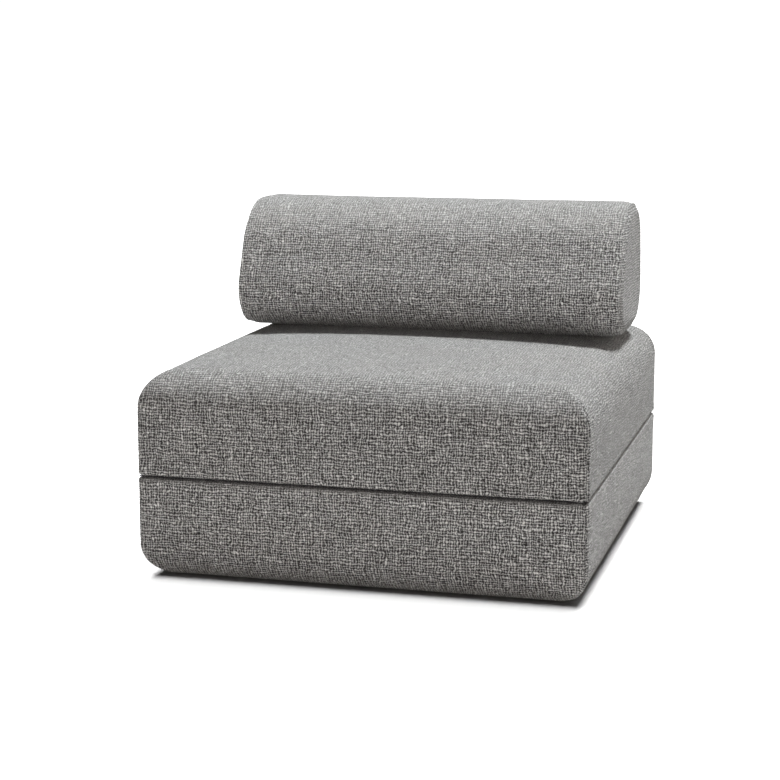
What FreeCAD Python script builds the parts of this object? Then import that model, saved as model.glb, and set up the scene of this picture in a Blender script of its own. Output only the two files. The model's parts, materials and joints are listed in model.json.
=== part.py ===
import FreeCAD, Part
import math
import os
import Sketcher

# Convertible chair bed: two upholstered blocks hinged along the front parting edge, and a loose back cushion.
# Millimetres. +X is the sitter's left seen from the front (the picture's right), the front faces -Y, +Z is up.
# The origin is the centre of the footprint on the floor.

os.makedirs("parts", exist_ok=True)
doc = FreeCAD.newDocument("convertible_chair_bed")

SIZES = [
    # the two blocks
    ("block_width", 900),  # side to side
    ("block_depth", 949),  # front to back, half the sleeping length less the fold gap
    ("block_height", 210),  # floor to parting plane, and parting plane to seat
    ("fold_gap", 0.5),  # from each block to the fold plane, above, below and in front
    ("outer_round", 72),  # rounding of the outer horizontal edges
    ("panel_round", 5),  # rounding of the edges round the sleeping faces
    ("corner_round", 9),  # rounding of the upright boxed corners
    # layers, from outside in
    ("cover_thick", 2),
    ("layer_gap", 0.2),
    ("wadding_thick", 8),
    ("comfort_thick", 40),
    # flat pieces let into the covers
    ("hinge_band_width", 30),
    ("grip_margin", 90),  # from the sides of the block to the non-slip underside
    ("loop_length", 180),
    ("loop_width", 50),
    ("loop_spacing", 500),
    ("loop_centre_y", 205),
    # cover zips
    ("zip_length", 820),
    ("zip_tape_width", 24),
    ("zip_tape_thick", 1),
    ("coil_width", 5),
    ("coil_thick", 1.4),
    ("coil_margin", 4),  # from each end of the tape to the coil
    ("slider_length", 11),
    ("slider_width", 8.4),
    ("slider_play", 0.4),  # round the coil
    ("slider_top", 2),  # above the cover
    ("crown_length", 8),
    ("crown_width", 2.4),
    ("crown_top", 5.2),
    ("crown_bar", 1),
    ("pivot_rise", 3.2),  # pull's cross bar above the cover
    ("pull_length", 30),
    ("pull_width", 6.4),
    ("pull_thick", 1.2),
    ("pull_window_length", 5),
    ("pull_window_width", 3.6),
    ("block_zip_rise", 52),  # from the parting plane to the coil
    ("slider_start", 14),  # from the end of the tape to the slider's middle, closed
    # back cushion
    ("cushion_length", 862.6),
    ("cushion_gap", 0.5),  # above the seat
    ("cushion_top", 713.8),
    ("front_low_y", 134.1),  # centres and radii of the rounded section
    ("front_low_r", 82),
    ("rear_low_y", 276.5),
    ("rear_low_r", 93.1),
    ("rear_top_y", 274),
    ("rear_top_r", 81.7),
    ("front_top_y", 222),
    ("front_top_r", 140.7),
    ("end_round", 30),
    ("end_panel_reach", 12),  # how far each end panel wraps in from the end
    ("cushion_zip_length", 760),
    ("cushion_zip_along", 14),  # up the flat of the rear from the low rounding
]

sheet = doc.addObject("Spreadsheet::Sheet", "dims")
for row, (alias, value) in enumerate(SIZES, 1):
    sheet.set("A%d" % row, alias)
    sheet.set("B%d" % row, str(value))
    sheet.setAlias("B%d" % row, alias)
doc.recompute()


class Size:
    """A length with the sheet expression that drives it."""

    def __init__(self, value, text):
        self.value, self.text = float(value), text

    @staticmethod
    def of(other):
        return other if isinstance(other, Size) else Size(other, "%.9g" % other)

    def join(self, other, sign, value):
        return Size(value, "(%s %s %s)" % (self.text, sign, other.text))

    def __add__(self, other):
        other = Size.of(other)
        return self.join(other, "+", self.value + other.value)

    def __sub__(self, other):
        other = Size.of(other)
        return self.join(other, "-", self.value - other.value)

    def __mul__(self, other):
        other = Size.of(other)
        return self.join(other, "*", self.value * other.value)

    def __truediv__(self, other):
        other = Size.of(other)
        return self.join(other, "/", self.value / other.value)

    def __neg__(self):
        return Size(-self.value, "(0 - %s)" % self.text)


def s(alias):
    return Size(sheet.get(alias), "dims." + alias)


def bind(obj, path, size):
    obj.setExpression(path, Size.of(size).text)


def plane_of(body, role):
    return [f for f in body.Origin.OriginFeatures if f.Role == role][0]


def new_sketch(body, name, plane):
    sk = body.newObject("Sketcher::SketchObject", name)
    sk.AttachmentSupport = [(plane_of(body, plane), "")]
    sk.MapMode = "FlatFace"
    return sk


def drive(sk, kind, args, size):
    """A dimensional constraint bound to the sheet."""
    size = Size.of(size)
    i = sk.addConstraint(Sketcher.Constraint(kind, *args, size.value))
    sk.setExpression("Constraints[%d]" % i, size.text)


def rounded_sketch(body, name, plane, u, v, r):
    """A rectangle u[0]..u[1] by v[0]..v[1] with its corners rounded r[0] at the low side and r[1] at the high side."""
    sk = new_sketch(body, name, plane)
    (u0, u1), (v0, v1), (r0, r1) = [[Size.of(x).value for x in p] for p in (u, v, r)]
    z, up = FreeCAD.Vector(0, 0, 1), FreeCAD.Vector
    q = math.pi / 2

    def line(a, b, c, d):
        return sk.addGeometry(Part.LineSegment(up(a, b, 0), up(c, d, 0)), False)

    def arc(a, b, rad, start):
        return sk.addGeometry(
            Part.ArcOfCircle(Part.Circle(up(a, b, 0), z, rad), start, start + q), False
        )

    low = line(u0 + r0, v0, u1 - r0, v0)
    c0 = arc(u1 - r0, v0 + r0, r0, -q)
    right = line(u1, v0 + r0, u1, v1 - r1)
    c1 = arc(u1 - r1, v1 - r1, r1, 0)
    high = line(u1 - r1, v1, u0 + r1, v1)
    c2 = arc(u0 + r1, v1 - r1, r1, q)
    left = line(u0, v1 - r1, u0, v0 + r0)
    c3 = arc(u0 + r0, v0 + r0, r0, 2 * q)
    loop = [low, c0, right, c1, high, c2, left, c3]
    for a, b in zip(loop, loop[1:] + loop[:1]):
        sk.addConstraint(Sketcher.Constraint("Tangent", a, 2, b, 1))
    for g in (low, high):
        sk.addConstraint(Sketcher.Constraint("Horizontal", g))
    for g in (left, right):
        sk.addConstraint(Sketcher.Constraint("Vertical", g))
    sk.addConstraint(Sketcher.Constraint("Equal", c0, c3))
    sk.addConstraint(Sketcher.Constraint("Equal", c1, c2))
    drive(sk, "Radius", (c0,), r[0])
    drive(sk, "Radius", (c1,), r[1])
    drive(sk, "DistanceX", (-1, 1, left, 1), u[0])
    drive(sk, "DistanceX", (-1, 1, right, 1), u[1])
    drive(sk, "DistanceY", (-1, 1, low, 1), v[0])
    drive(sk, "DistanceY", (-1, 1, high, 1), v[1])
    return sk


def polygon_sketch(body, name, plane, points):
    sk = new_sketch(body, name, plane)
    pts = [(Size.of(a), Size.of(b)) for a, b in points]
    n = len(pts)
    for i in range(n):
        (a, b), (c, d) = pts[i], pts[(i + 1) % n]
        sk.addGeometry(
            Part.LineSegment(
                FreeCAD.Vector(a.value, b.value, 0), FreeCAD.Vector(c.value, d.value, 0)
            ),
            False,
        )
    for i in range(n):
        sk.addConstraint(Sketcher.Constraint("Coincident", i, 2, (i + 1) % n, 1))
        drive(sk, "DistanceX", (-1, 1, i, 1), pts[i][0])
        drive(sk, "DistanceY", (-1, 1, i, 1), pts[i][1])
    return sk


def hull_sketch(body, name, plane, circles):
    """The outline of a belt round circles given in turn, each (u, v, radius), counter-clockwise."""
    sk = new_sketch(body, name, plane)
    n = len(circles)
    num = [[Size.of(x).value for x in c] for c in circles]
    normals = []
    for i in range(n):
        (a, b, ra), (c, d, rb) = num[i], num[(i + 1) % n]
        dx, dy = c - a, d - b
        length = math.hypot(dx, dy)
        along, off = (ra - rb) / length, 0.0
        off = math.sqrt(1 - along * along)
        tx, ty = dx / length, dy / length
        normals.append((tx * along + ty * off, ty * along - tx * off))
    arcs, lines = [], []
    for i in range(n):
        u, v, r = num[i]
        before, after = normals[i - 1], normals[i]
        a0 = math.atan2(before[1], before[0])
        a1 = math.atan2(after[1], after[0])
        while a1 <= a0:
            a1 += 2 * math.pi
        arcs.append(
            sk.addGeometry(
                Part.ArcOfCircle(
                    Part.Circle(FreeCAD.Vector(u, v, 0), FreeCAD.Vector(0, 0, 1), r),
                    a0,
                    a1,
                ),
                False,
            )
        )
        c, d, rb = num[(i + 1) % n]
        p = FreeCAD.Vector(u + r * after[0], v + r * after[1], 0)
        e = FreeCAD.Vector(c + rb * after[0], d + rb * after[1], 0)
        lines.append(sk.addGeometry(Part.LineSegment(p, e), False))
    for i in range(n):
        sk.addConstraint(Sketcher.Constraint("Tangent", arcs[i], 2, lines[i], 1))
        sk.addConstraint(
            Sketcher.Constraint("Tangent", lines[i], 2, arcs[(i + 1) % n], 1)
        )
        drive(sk, "DistanceX", (-1, 1, arcs[i], 3), circles[i][0])
        drive(sk, "DistanceY", (-1, 1, arcs[i], 3), circles[i][1])
        drive(sk, "Radius", (arcs[i],), circles[i][2])
    return sk, normals


def new_body(name):
    return doc.addObject("PartDesign::Body", name)


def pad(body, sk, length, name):
    """A pad spread evenly to both sides of its sketch."""
    p = body.newObject("PartDesign::Pad", name)
    p.Profile = sk
    p.SideType = "Symmetric"
    bind(p, "Length", length)
    sk.Visibility = False
    return p


def pocket(body, sk, name):
    """A cut right through to both sides of its sketch."""
    p = body.newObject("PartDesign::Pocket", name)
    p.Profile = sk
    p.SideType = "Symmetric"
    p.Type = "ThroughAll"
    sk.Visibility = False
    return p


def box(name, x, y, z, frame=None):
    """A block between x[0]..x[1], y[0]..y[1] and z[0]..z[1], laid out in frame where one is given."""
    b = doc.addObject("Part::Box", name)
    bind(b, "Length", Size.of(x[1]) - x[0])
    bind(b, "Width", Size.of(y[1]) - y[0])
    bind(b, "Height", Size.of(z[1]) - z[0])
    low = [Size.of(p[0]) for p in (x, y, z)]
    if frame is None:
        for k, size in zip("xyz", low):
            bind(b, "Placement.Base." + k, size)
    else:
        at = FreeCAD.Vector(*[p.value for p in low])
        b.Placement = frame.multiply(FreeCAD.Placement(at, FreeCAD.Rotation()))
    return b


def boolean(kind, name, base, *tools):
    """Cut or Common of base with each tool in turn."""
    for i, tool in enumerate(tools):
        last = i == len(tools) - 1
        o = doc.addObject("Part::" + kind, name if last else "%s_step%d" % (name, i + 1))
        o.Base, o.Tool = base, tool
        base = o
    return base


nodes = []


def node(obj, label):
    obj.Label = label
    nodes.append(obj)
    return obj


half_w = s("block_width") / 2
half_d = s("block_depth") / 2
cover = s("cover_thick")
inside = cover + s("layer_gap")
wad = inside + s("wadding_thick")
core = wad + s("layer_gap")
far = 2000  # past everything


def block_form(name, inset, radius, low, high, upper):
    """A block's envelope, inset all round: three pads crossed, so that the roundings meet in mitres at the corners."""
    top = high - inset
    bottom = low + inset
    big = s("outer_round") - inset
    edge = (radius, big) if upper else (big, radius)
    width = body_w = new_body(name + "_across")
    pad(
        body_w,
        rounded_sketch(
            body_w, name + "_front_view", "XZ_Plane",
            (inset - half_w, half_w - inset), (bottom, top), edge,
        ),
        s("block_depth") - inset * 2,
        name + "_run",
    )
    depth = new_body(name + "_along")
    pad(
        depth,
        rounded_sketch(
            depth, name + "_side_view", "YZ_Plane",
            (inset - half_d, half_d - inset), (bottom, top), edge,
        ),
        s("block_width") - inset * 2,
        name + "_span",
    )
    upright = new_body(name + "_upright")
    corner = s("corner_round") * (radius / s("panel_round"))
    pad(
        upright,
        rounded_sketch(
            upright, name + "_plan", "XY_Plane",
            (inset - half_w, half_w - inset), (inset - half_d, half_d - inset), (corner, corner),
        ),
        s("block_height") * 4 + 40,
        name + "_rise",
    )
    return boolean("Common", name, width, depth, upright)


def zip_parts(prefix, body_prefix, length, frame):
    """Tape, coil, slider and pull of one zip. In frame, x runs along the zip, y out of the cover and z across the tape."""
    half = length / 2
    tape_half = s("zip_tape_width") / 2
    tape_top = s("zip_tape_thick") - cover
    slot = box(prefix + "_zip_slot", (-half, half), (-(cover + 0.1), 1), (-tape_half, tape_half), frame)
    node(
        box(prefix + "_zip_tape", (-half, half), (-cover, tape_top), (-tape_half, tape_half), frame),
        prefix + "_zip_tape",
    )
    coil = new_body(prefix + "_zip_coil")
    pad(
        coil,
        rounded_sketch(
            coil, prefix + "_coil_section", "YZ_Plane",
            (tape_top, tape_top + s("coil_thick")),
            (-(s("coil_width") / 2), s("coil_width") / 2),
            (s("coil_thick") * 0.4, s("coil_thick") * 0.4),
        ),
        length - s("coil_margin") * 2,
        prefix + "_coil_run",
    )
    coil.Placement = frame
    node(coil, prefix + "_zip_coil")

    # the slider's middle, closed, is near the tape's high-x end
    at = frame.multiply(
        FreeCAD.Placement(
            FreeCAD.Vector((half - s("slider_start")).value, 0, 0), FreeCAD.Rotation()
        )
    )
    slider = new_body(prefix + "_zip_slider")
    play = s("slider_play")
    foot = tape_top + play
    roof = tape_top + s("coil_thick") + play
    channel = s("coil_width") / 2 + play
    side = s("slider_width") / 2
    pad(
        slider,
        polygon_sketch(
            slider, prefix + "_slider_section", "YZ_Plane",
            [
                (foot, -side), (s("slider_top"), -side), (s("slider_top"), side), (foot, side),
                (foot, channel), (roof, channel), (roof, -channel), (foot, -channel),
            ],
        ),
        s("slider_length"),
        prefix + "_slider_run",
    )
    end = s("crown_length") / 2
    bar = s("crown_bar")
    sunk = s("slider_top") - bar / 2
    pad(
        slider,
        polygon_sketch(
            slider, prefix + "_crown_side", "XY_Plane",
            [
                (-end, sunk), (bar - end, sunk), (bar - end, s("crown_top") - bar),
                (end - bar, s("crown_top") - bar), (end - bar, sunk), (end, sunk),
                (end, s("crown_top") - bar), (end - bar, s("crown_top")),
                (bar - end, s("crown_top")), (-end, s("crown_top") - bar),
            ],
        ),
        s("crown_width"),
        prefix + "_crown",
    )
    slider.Placement = at
    node(slider, prefix + "_zip_slider")

    pull = new_body(prefix + "_zip_pull")
    bar_half = s("pull_thick") / 2
    pull_half = s("pull_width") / 2
    window = s("pull_window_width") / 2
    pad(
        pull,
        rounded_sketch(
            pull, prefix + "_pull_plan", "XZ_Plane",
            (bar_half - s("pull_length"), bar_half), (-pull_half, pull_half), (0.55, 0.55),
        ),
        s("pull_thick"),
        prefix + "_pull_plate",
    )
    pocket(
        pull,
        polygon_sketch(
            pull, prefix + "_pull_window", "XZ_Plane",
            [
                (-(bar_half + s("pull_window_length")), -window), (-bar_half, -window),
                (-bar_half, window), (-(bar_half + s("pull_window_length")), window),
            ],
        ),
        prefix + "_pull_eye",
    )
    pull.Placement = at.multiply(
        FreeCAD.Placement(
            FreeCAD.Vector(0, s("pivot_rise").value, 0), FreeCAD.Rotation()
        )
    )
    node(pull, prefix + "_zip_pull")
    return slot


def build_block(prefix, upper):
    gap, tall = s("fold_gap"), s("block_height")
    low = tall + gap if upper else Size(0, "0")
    high = tall * 2 if upper else tall - gap
    face = low if upper else high  # the sleeping face
    into = 1 if upper else -1  # from the sleeping face into the block
    tiny = s("panel_round")
    outer = block_form(prefix + "_form_outer", Size(0, "0"), tiny, low, high, upper)
    lining = block_form(prefix + "_form_lining", cover, tiny * 0.6, low, high, upper)
    wadding = block_form(prefix + "_form_wadding", inside, tiny * 0.56, low, high, upper)
    hollow = block_form(prefix + "_form_hollow", wad, tiny * 0.3, low, high, upper)
    foam = block_form(prefix + "_form_foam", core, tiny * 0.3, low, high, upper)

    def slab(name, x, y, start, thick):
        """A box reaching from start below the sleeping face to start + thick, counted into the block."""
        a, b = face + Size.of(start) * into, face + (Size.of(start) + thick) * into
        return box(prefix + name, x, y, (a, b) if upper else (b, a))

    band_end = s("hinge_band_width") - half_d
    node(
        boolean(
            "Common", prefix + "_sleep_panel", outer,
            slab("_panel_slab", (-far, far), (band_end, far), -1, cover + 1),
        ),
        prefix + "_sleep_panel",
    )
    node(
        boolean(
            "Common", prefix + "_hinge_band", outer,
            slab("_band_slab", (-far, far), (-far, band_end), -1, cover + 1),
        ),
        prefix + "_hinge_band",
    )
    rise = s("block_zip_rise")
    coil_z = tall + rise if upper else tall - rise
    slot = zip_parts(
        prefix, prefix, s("zip_length"),
        FreeCAD.Placement(
            FreeCAD.Vector(0, half_d.value, coil_z.value), FreeCAD.Rotation()
        ),
    )
    cuts = [lining, slab("_panel_cut", (-far, far), (-far, far), -1, cover + 1), slot]
    if upper:
        mid, reach = s("loop_spacing") / 2, s("loop_length") / 2
        near = s("loop_centre_y") - s("loop_width") / 2
        end = s("loop_centre_y") + s("loop_width") / 2
        top = (high - cover, high)
        for side, sign in (("left", -1), ("right", 1)):
            x = (mid * sign - reach, mid * sign + reach)
            cuts.append(box(prefix + "_loop_window_" + side, x, (near, end), (high - cover - 1, high + 1)))
            node(box(prefix + "_loop_" + side, x, (near, end), top), prefix + "_loop_" + side)
    else:
        edge = s("grip_margin")
        x, y = (edge - half_w, half_w - edge), (edge - half_d, half_d - edge)
        cuts.append(box(prefix + "_grip_window", x, y, (-1, cover + 1)))
        node(box(prefix + "_grip_panel", x, y, (0, cover)), prefix + "_grip_panel")
    node(boolean("Cut", prefix + "_cover_cap", outer, *cuts), prefix + "_cover_cap")
    node(boolean("Cut", prefix + "_wadding", wadding, hollow), prefix + "_wadding")
    split = s("comfort_thick")
    node(
        boolean(
            "Common", prefix + "_comfort_foam", foam,
            slab("_comfort_slab", (-far, far), (-far, far), 0, core + split),
        ),
        prefix + "_comfort_foam",
    )
    node(
        boolean(
            "Cut", prefix + "_foam_core", foam,
            slab("_core_cut", (-far, far), (-far, far), 0, core + split + s("layer_gap")),
        ),
        prefix + "_foam_core",
    )


def build_cushion():
    prefix = "backrest"
    low = s("block_height") * 2 + s("cushion_gap")
    top = s("cushion_top")
    half = s("cushion_length") / 2

    def circles(inset):
        return [
            (s("front_low_y"), low + s("front_low_r"), s("front_low_r") - inset),
            (s("rear_low_y"), low + s("rear_low_r"), s("rear_low_r") - inset),
            (s("rear_top_y"), top - s("rear_top_r"), s("rear_top_r") - inset),
            (s("front_top_y"), top - s("front_top_r"), s("front_top_r") - inset),
        ]

    def form(name, inset):
        body = new_body(name)
        sk, normals = hull_sketch(body, name + "_section", "YZ_Plane", circles(inset))
        length = s("cushion_length") - inset * 2
        p = pad(body, sk, length, name + "_run")
        doc.recompute()
        reach = length.value / 2
        ends = [
            "Edge%d" % (i + 1)
            for i, e in enumerate(p.Shape.Edges)
            if min(abs(v.X) for v in e.Vertexes) > reach - 1e-3
            and e.Vertexes[0].X * e.Vertexes[-1].X > 0
        ]
        f = body.newObject("PartDesign::Fillet", name + "_ends")
        f.Base = (p, ends)
        bind(f, "Radius", s("end_round") - inset)
        return body, normals

    zero = Size(0, "0")
    outer, normals = form(prefix + "_form_outer", zero)
    lining, _ = form(prefix + "_form_lining", cover)
    wadding, _ = form(prefix + "_form_wadding", inside)
    hollow, _ = form(prefix + "_form_hollow", wad)
    foam, _ = form(prefix + "_form_foam", core)

    # the zip lies on the flat of the rear face, so its frame leans with that face
    lean = normals[1]
    c = [x.value for x in circles(zero)[1]]
    foot = (c[0] + c[2] * lean[0], c[1] + c[2] * lean[1])
    up = (-lean[1], lean[0])
    along = s("cushion_zip_along").value
    frame = FreeCAD.Placement(
        FreeCAD.Vector(0, foot[0] + up[0] * along, foot[1] + up[1] * along),
        FreeCAD.Rotation(FreeCAD.Vector(1, 0, 0), math.degrees(math.atan2(lean[1], lean[0]))),
    )
    slot = zip_parts(prefix, prefix, s("cushion_zip_length"), frame)

    shell = boolean("Cut", prefix + "_shell", outer, lining)
    tuck = half - s("end_panel_reach")
    tall = (0, far)
    left = box(prefix + "_left_reach", (-far, -tuck), (-far, far), tall)
    right = box(prefix + "_right_reach", (tuck, far), (-far, far), tall)
    node(boolean("Common", prefix + "_end_left", shell, left), prefix + "_end_left")
    node(boolean("Common", prefix + "_end_right", shell, right), prefix + "_end_right")
    flat = half - s("end_round")
    under = (low - 1, low + cover)
    bottom_y = (s("front_low_y"), s("rear_low_y"))
    slab = box(prefix + "_bottom_slab", (-flat, flat), bottom_y, under)
    gap = box(prefix + "_bottom_cut", (-flat, flat), bottom_y, (low - 1, low + cover + 1))
    mid, reach = s("loop_spacing") / 2, s("loop_length") / 2
    near = s("loop_centre_y") - s("loop_width") / 2
    end = s("loop_centre_y") + s("loop_width") / 2
    windows = []
    for side, sign in (("left", -1), ("right", 1)):
        x = (mid * sign - reach, mid * sign + reach)
        windows.append(box(prefix + "_hook_window_" + side, x, (near, end), (low - 1, low + cover + 1)))
        node(box(prefix + "_hook_" + side, x, (near, end), (low, low + cover)), prefix + "_hook_" + side)
    panel = boolean("Common", prefix + "_bottom_whole", shell, slab)
    node(boolean("Cut", prefix + "_bottom_panel", panel, *windows), prefix + "_bottom_panel")
    node(
        boolean("Cut", prefix + "_cover_wrap", shell, left, right, gap, slot),
        prefix + "_cover_wrap",
    )
    node(boolean("Cut", prefix + "_wadding", wadding, hollow), prefix + "_wadding")
    node(foam, prefix + "_foam_core")


build_block("base", False)
build_block("seat", True)
build_cushion()
doc.recompute()

# every object is sound before anything is written
for obj in doc.Objects:
    if "Invalid" in obj.State or "Error" in obj.State:
        raise RuntimeError("%s is in state %s" % (obj.Label, obj.State))
for obj in nodes:
    shape = obj.Shape
    if shape.isNull() or not shape.isValid() or len(shape.Solids) != 1 or shape.Volume <= 0:
        raise RuntimeError("%s has no single valid solid (%d)" % (obj.Label, len(shape.Solids)))
for obj in nodes:
    obj.Shape.exportStep("parts/%s.step" % obj.Label)
    b = obj.Shape.BoundBox
    print(
        "%-24s x %8.1f %8.1f  y %8.1f %8.1f  z %8.1f %8.1f  %12.0f mm3"
        % (obj.Label, b.XMin, b.XMax, b.YMin, b.YMax, b.ZMin, b.ZMax, obj.Shape.Volume)
    )
print(len(nodes), "sub-parts")
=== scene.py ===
import json
import math

import bpy
import numpy as np
from mathutils import Matrix, Vector
from mathutils.bvhtree import BVHTree

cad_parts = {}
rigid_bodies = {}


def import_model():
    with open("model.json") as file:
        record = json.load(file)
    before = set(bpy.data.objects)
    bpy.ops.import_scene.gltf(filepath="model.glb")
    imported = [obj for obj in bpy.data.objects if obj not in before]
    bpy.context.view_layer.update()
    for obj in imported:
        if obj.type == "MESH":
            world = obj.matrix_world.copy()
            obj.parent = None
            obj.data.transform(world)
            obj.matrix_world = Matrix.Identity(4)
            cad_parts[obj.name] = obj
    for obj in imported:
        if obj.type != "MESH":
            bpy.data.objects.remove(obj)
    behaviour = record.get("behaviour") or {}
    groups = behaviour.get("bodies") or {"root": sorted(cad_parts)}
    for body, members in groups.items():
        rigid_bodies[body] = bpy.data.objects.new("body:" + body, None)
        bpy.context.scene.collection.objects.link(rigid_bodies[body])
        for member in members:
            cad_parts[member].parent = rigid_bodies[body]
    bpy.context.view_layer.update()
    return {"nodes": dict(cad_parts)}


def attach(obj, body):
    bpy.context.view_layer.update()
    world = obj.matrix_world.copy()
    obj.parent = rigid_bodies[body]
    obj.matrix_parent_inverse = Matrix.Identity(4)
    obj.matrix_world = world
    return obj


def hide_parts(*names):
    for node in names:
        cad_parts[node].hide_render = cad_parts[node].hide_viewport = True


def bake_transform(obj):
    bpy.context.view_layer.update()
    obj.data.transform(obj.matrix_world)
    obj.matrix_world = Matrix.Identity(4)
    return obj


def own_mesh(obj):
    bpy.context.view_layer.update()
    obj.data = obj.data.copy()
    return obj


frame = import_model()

scene = bpy.context.scene

# ---------------------------------------------------------------- camera
# The picture's camera, solved from the outline of the object.
CAM = Vector((1.000845, -3.961819, 1.063473))
FWD = Vector((-0.2543405, 0.9504608, -0.17870416))
LENS = 89.3117

cam_data = bpy.data.cameras.new("camera")
cam_data.lens = LENS
cam_data.sensor_width = 36.0
cam_data.clip_start, cam_data.clip_end = 0.05, 60.0
cam = bpy.data.objects.new("camera", cam_data)
cam.location = CAM
cam.rotation_mode = "QUATERNION"
cam.rotation_quaternion = FWD.to_track_quat("-Z", "Y")
scene.collection.objects.link(cam)
scene.camera = cam

# ---------------------------------------------------------------- sizes, in metres
W2, D2 = 0.450, 0.4745  # half width and half depth of a block
TALL = 0.2095  # a block, from its sleeping face to its outer face
GAP = 0.0005
PLANE = 0.210  # the fold plane
R_OUT, R_FACE, R_UP = 0.072, 0.005, 0.009
CROWN = 0.0130  # how far the seat stands up in its middle
HINGE_Y = -0.475
BAND = 0.030
MOUTH = {True: 0.0004, False: 0.0025}  # how far each rim lifts off the fold plane: the seat's, the base's

rng = np.random.default_rng(8743)


# ---------------------------------------------------------------- mesh helpers
def make_object(name, verts, faces, uvs=None, mats=(), smooth=True, attrs=None, parts=None):
    """A mesh object from arrays. faces is (n, 4), where a face whose corners repeat is a triangle, or a list.
    uvs is (n, 4, 2), or one (u, v) for each corner of each face, in face order."""
    me = bpy.data.meshes.new(name)
    verts = np.asarray(verts, np.float32)
    if isinstance(faces, np.ndarray):
        keep = faces != np.roll(faces, -1, axis=1)
        sizes = keep.sum(1)
        good = sizes >= 3
        keep[~good] = False
        corners = faces[keep]
        if uvs is not None:
            uvs = np.asarray(uvs)[keep]
        if parts is not None:
            parts = np.asarray(parts)[good]
        sizes = sizes[good]
    else:
        corners = np.array([i for f in faces for i in f])
        sizes = np.array([len(f) for f in faces])
    me.vertices.add(len(verts))
    me.vertices.foreach_set("co", verts.ravel())
    me.loops.add(len(corners))
    me.loops.foreach_set("vertex_index", corners.astype(np.int32))
    me.polygons.add(len(sizes))
    me.polygons.foreach_set("loop_start", np.r_[0, np.cumsum(sizes)[:-1]].astype(np.int32))
    me.update(calc_edges=True)
    if uvs is not None:
        layer = me.uv_layers.new(name="cloth")
        layer.data.foreach_set("uv", np.asarray(uvs, np.float32).ravel())
    for key, values in (attrs or {}).items():
        a = me.attributes.new(key, "FLOAT", "POINT")
        a.data.foreach_set("value", np.asarray(values, np.float32))
    for m in mats:
        me.materials.append(m)
    if parts is not None:
        for k in range(int(np.max(parts)) + 1 - len(me.materials)):
            me.materials.append(None)
        me.polygons.foreach_set("material_index", np.asarray(parts, np.int32))
    me.validate()
    me.polygons.foreach_set("use_smooth", [smooth] * len(me.polygons))
    me.update()
    ob = bpy.data.objects.new(name, me)
    scene.collection.objects.link(ob)
    return ob


def drop(ob):
    me = ob.data
    bpy.data.objects.remove(ob)
    bpy.data.meshes.remove(me)


def evaluated(ob):
    bpy.context.view_layer.update()
    return ob.evaluated_get(bpy.context.evaluated_depsgraph_get()).to_mesh()


def subdivide(v, f, uv, part, nums):
    """One Catmull-Clark step, with the uvs, the parts and the numbers carried along."""
    keys = list(nums)
    big = 9.0
    ob = make_object("step", v, f, uv, attrs={k: np.minimum(nums[k], big) for k in keys}, parts=part)
    mod = ob.modifiers.new("step", "SUBSURF")
    mod.levels = mod.render_levels = 1
    mod.uv_smooth = "NONE"
    me = evaluated(ob)
    nv = get_co(me)
    nf = np.empty(len(me.loops), np.int32)
    me.loops.foreach_get("vertex_index", nf)
    nuv = np.empty(len(me.loops) * 2, np.float32)
    me.uv_layers["cloth"].data.foreach_get("uv", nuv)
    npart = np.empty(len(me.polygons), np.int32)
    me.polygons.foreach_get("material_index", npart)
    nn = {}
    for k in keys:
        a = np.empty(len(me.vertices), np.float32)
        me.attributes[k].data.foreach_get("value", a)
        nn[k] = a.astype(float)
    drop(ob)
    return nv, nf.reshape(-1, 4).astype(int), nuv.reshape(-1, 4, 2).astype(float), npart.astype(int), nn


def swell(v, f, pin, pressure=4.0, tension=40.0, bend=2.0, frames=20):
    """Blows the closed cover up as cloth under pressure, held where pin is 1, and gives how far each point moved."""
    ob = make_object("blown", v, f)
    g = ob.vertex_groups.new(name="pin")
    q = np.round(np.clip(pin, 0, 1) * 10).astype(int)
    for level in range(1, 11):
        idx = np.nonzero(q == level)[0]
        if len(idx):
            g.add([int(i) for i in idx], level / 10.0, "REPLACE")
    mod = ob.modifiers.new("blown", "CLOTH")
    c = mod.settings
    c.quality = 4
    c.mass = 0.3
    c.tension_stiffness = c.compression_stiffness = tension
    c.shear_stiffness = tension / 3
    c.bending_stiffness = bend
    c.use_pressure = True
    c.uniform_pressure_force = pressure
    c.vertex_group_mass = "pin"
    c.pin_stiffness = 1.0
    c.effector_weights.gravity = 0.0
    mod.collision_settings.use_collision = False
    mod.collision_settings.use_self_collision = False
    mod.point_cache.frame_start, mod.point_cache.frame_end = 1, frames
    scene.frame_start, scene.frame_end = 1, frames
    for k in range(1, frames + 1):
        scene.frame_set(k)
    me = evaluated(ob)
    moved = get_co(me) - v
    drop(ob)
    scene.frame_set(1)
    return moved


def get_co(me):
    co = np.empty(len(me.vertices) * 3, np.float32)
    me.vertices.foreach_get("co", co)
    return co.reshape(-1, 3).astype(float)


def set_co(me, co):
    me.vertices.foreach_set("co", np.asarray(co, np.float32).ravel())
    me.update()


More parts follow.
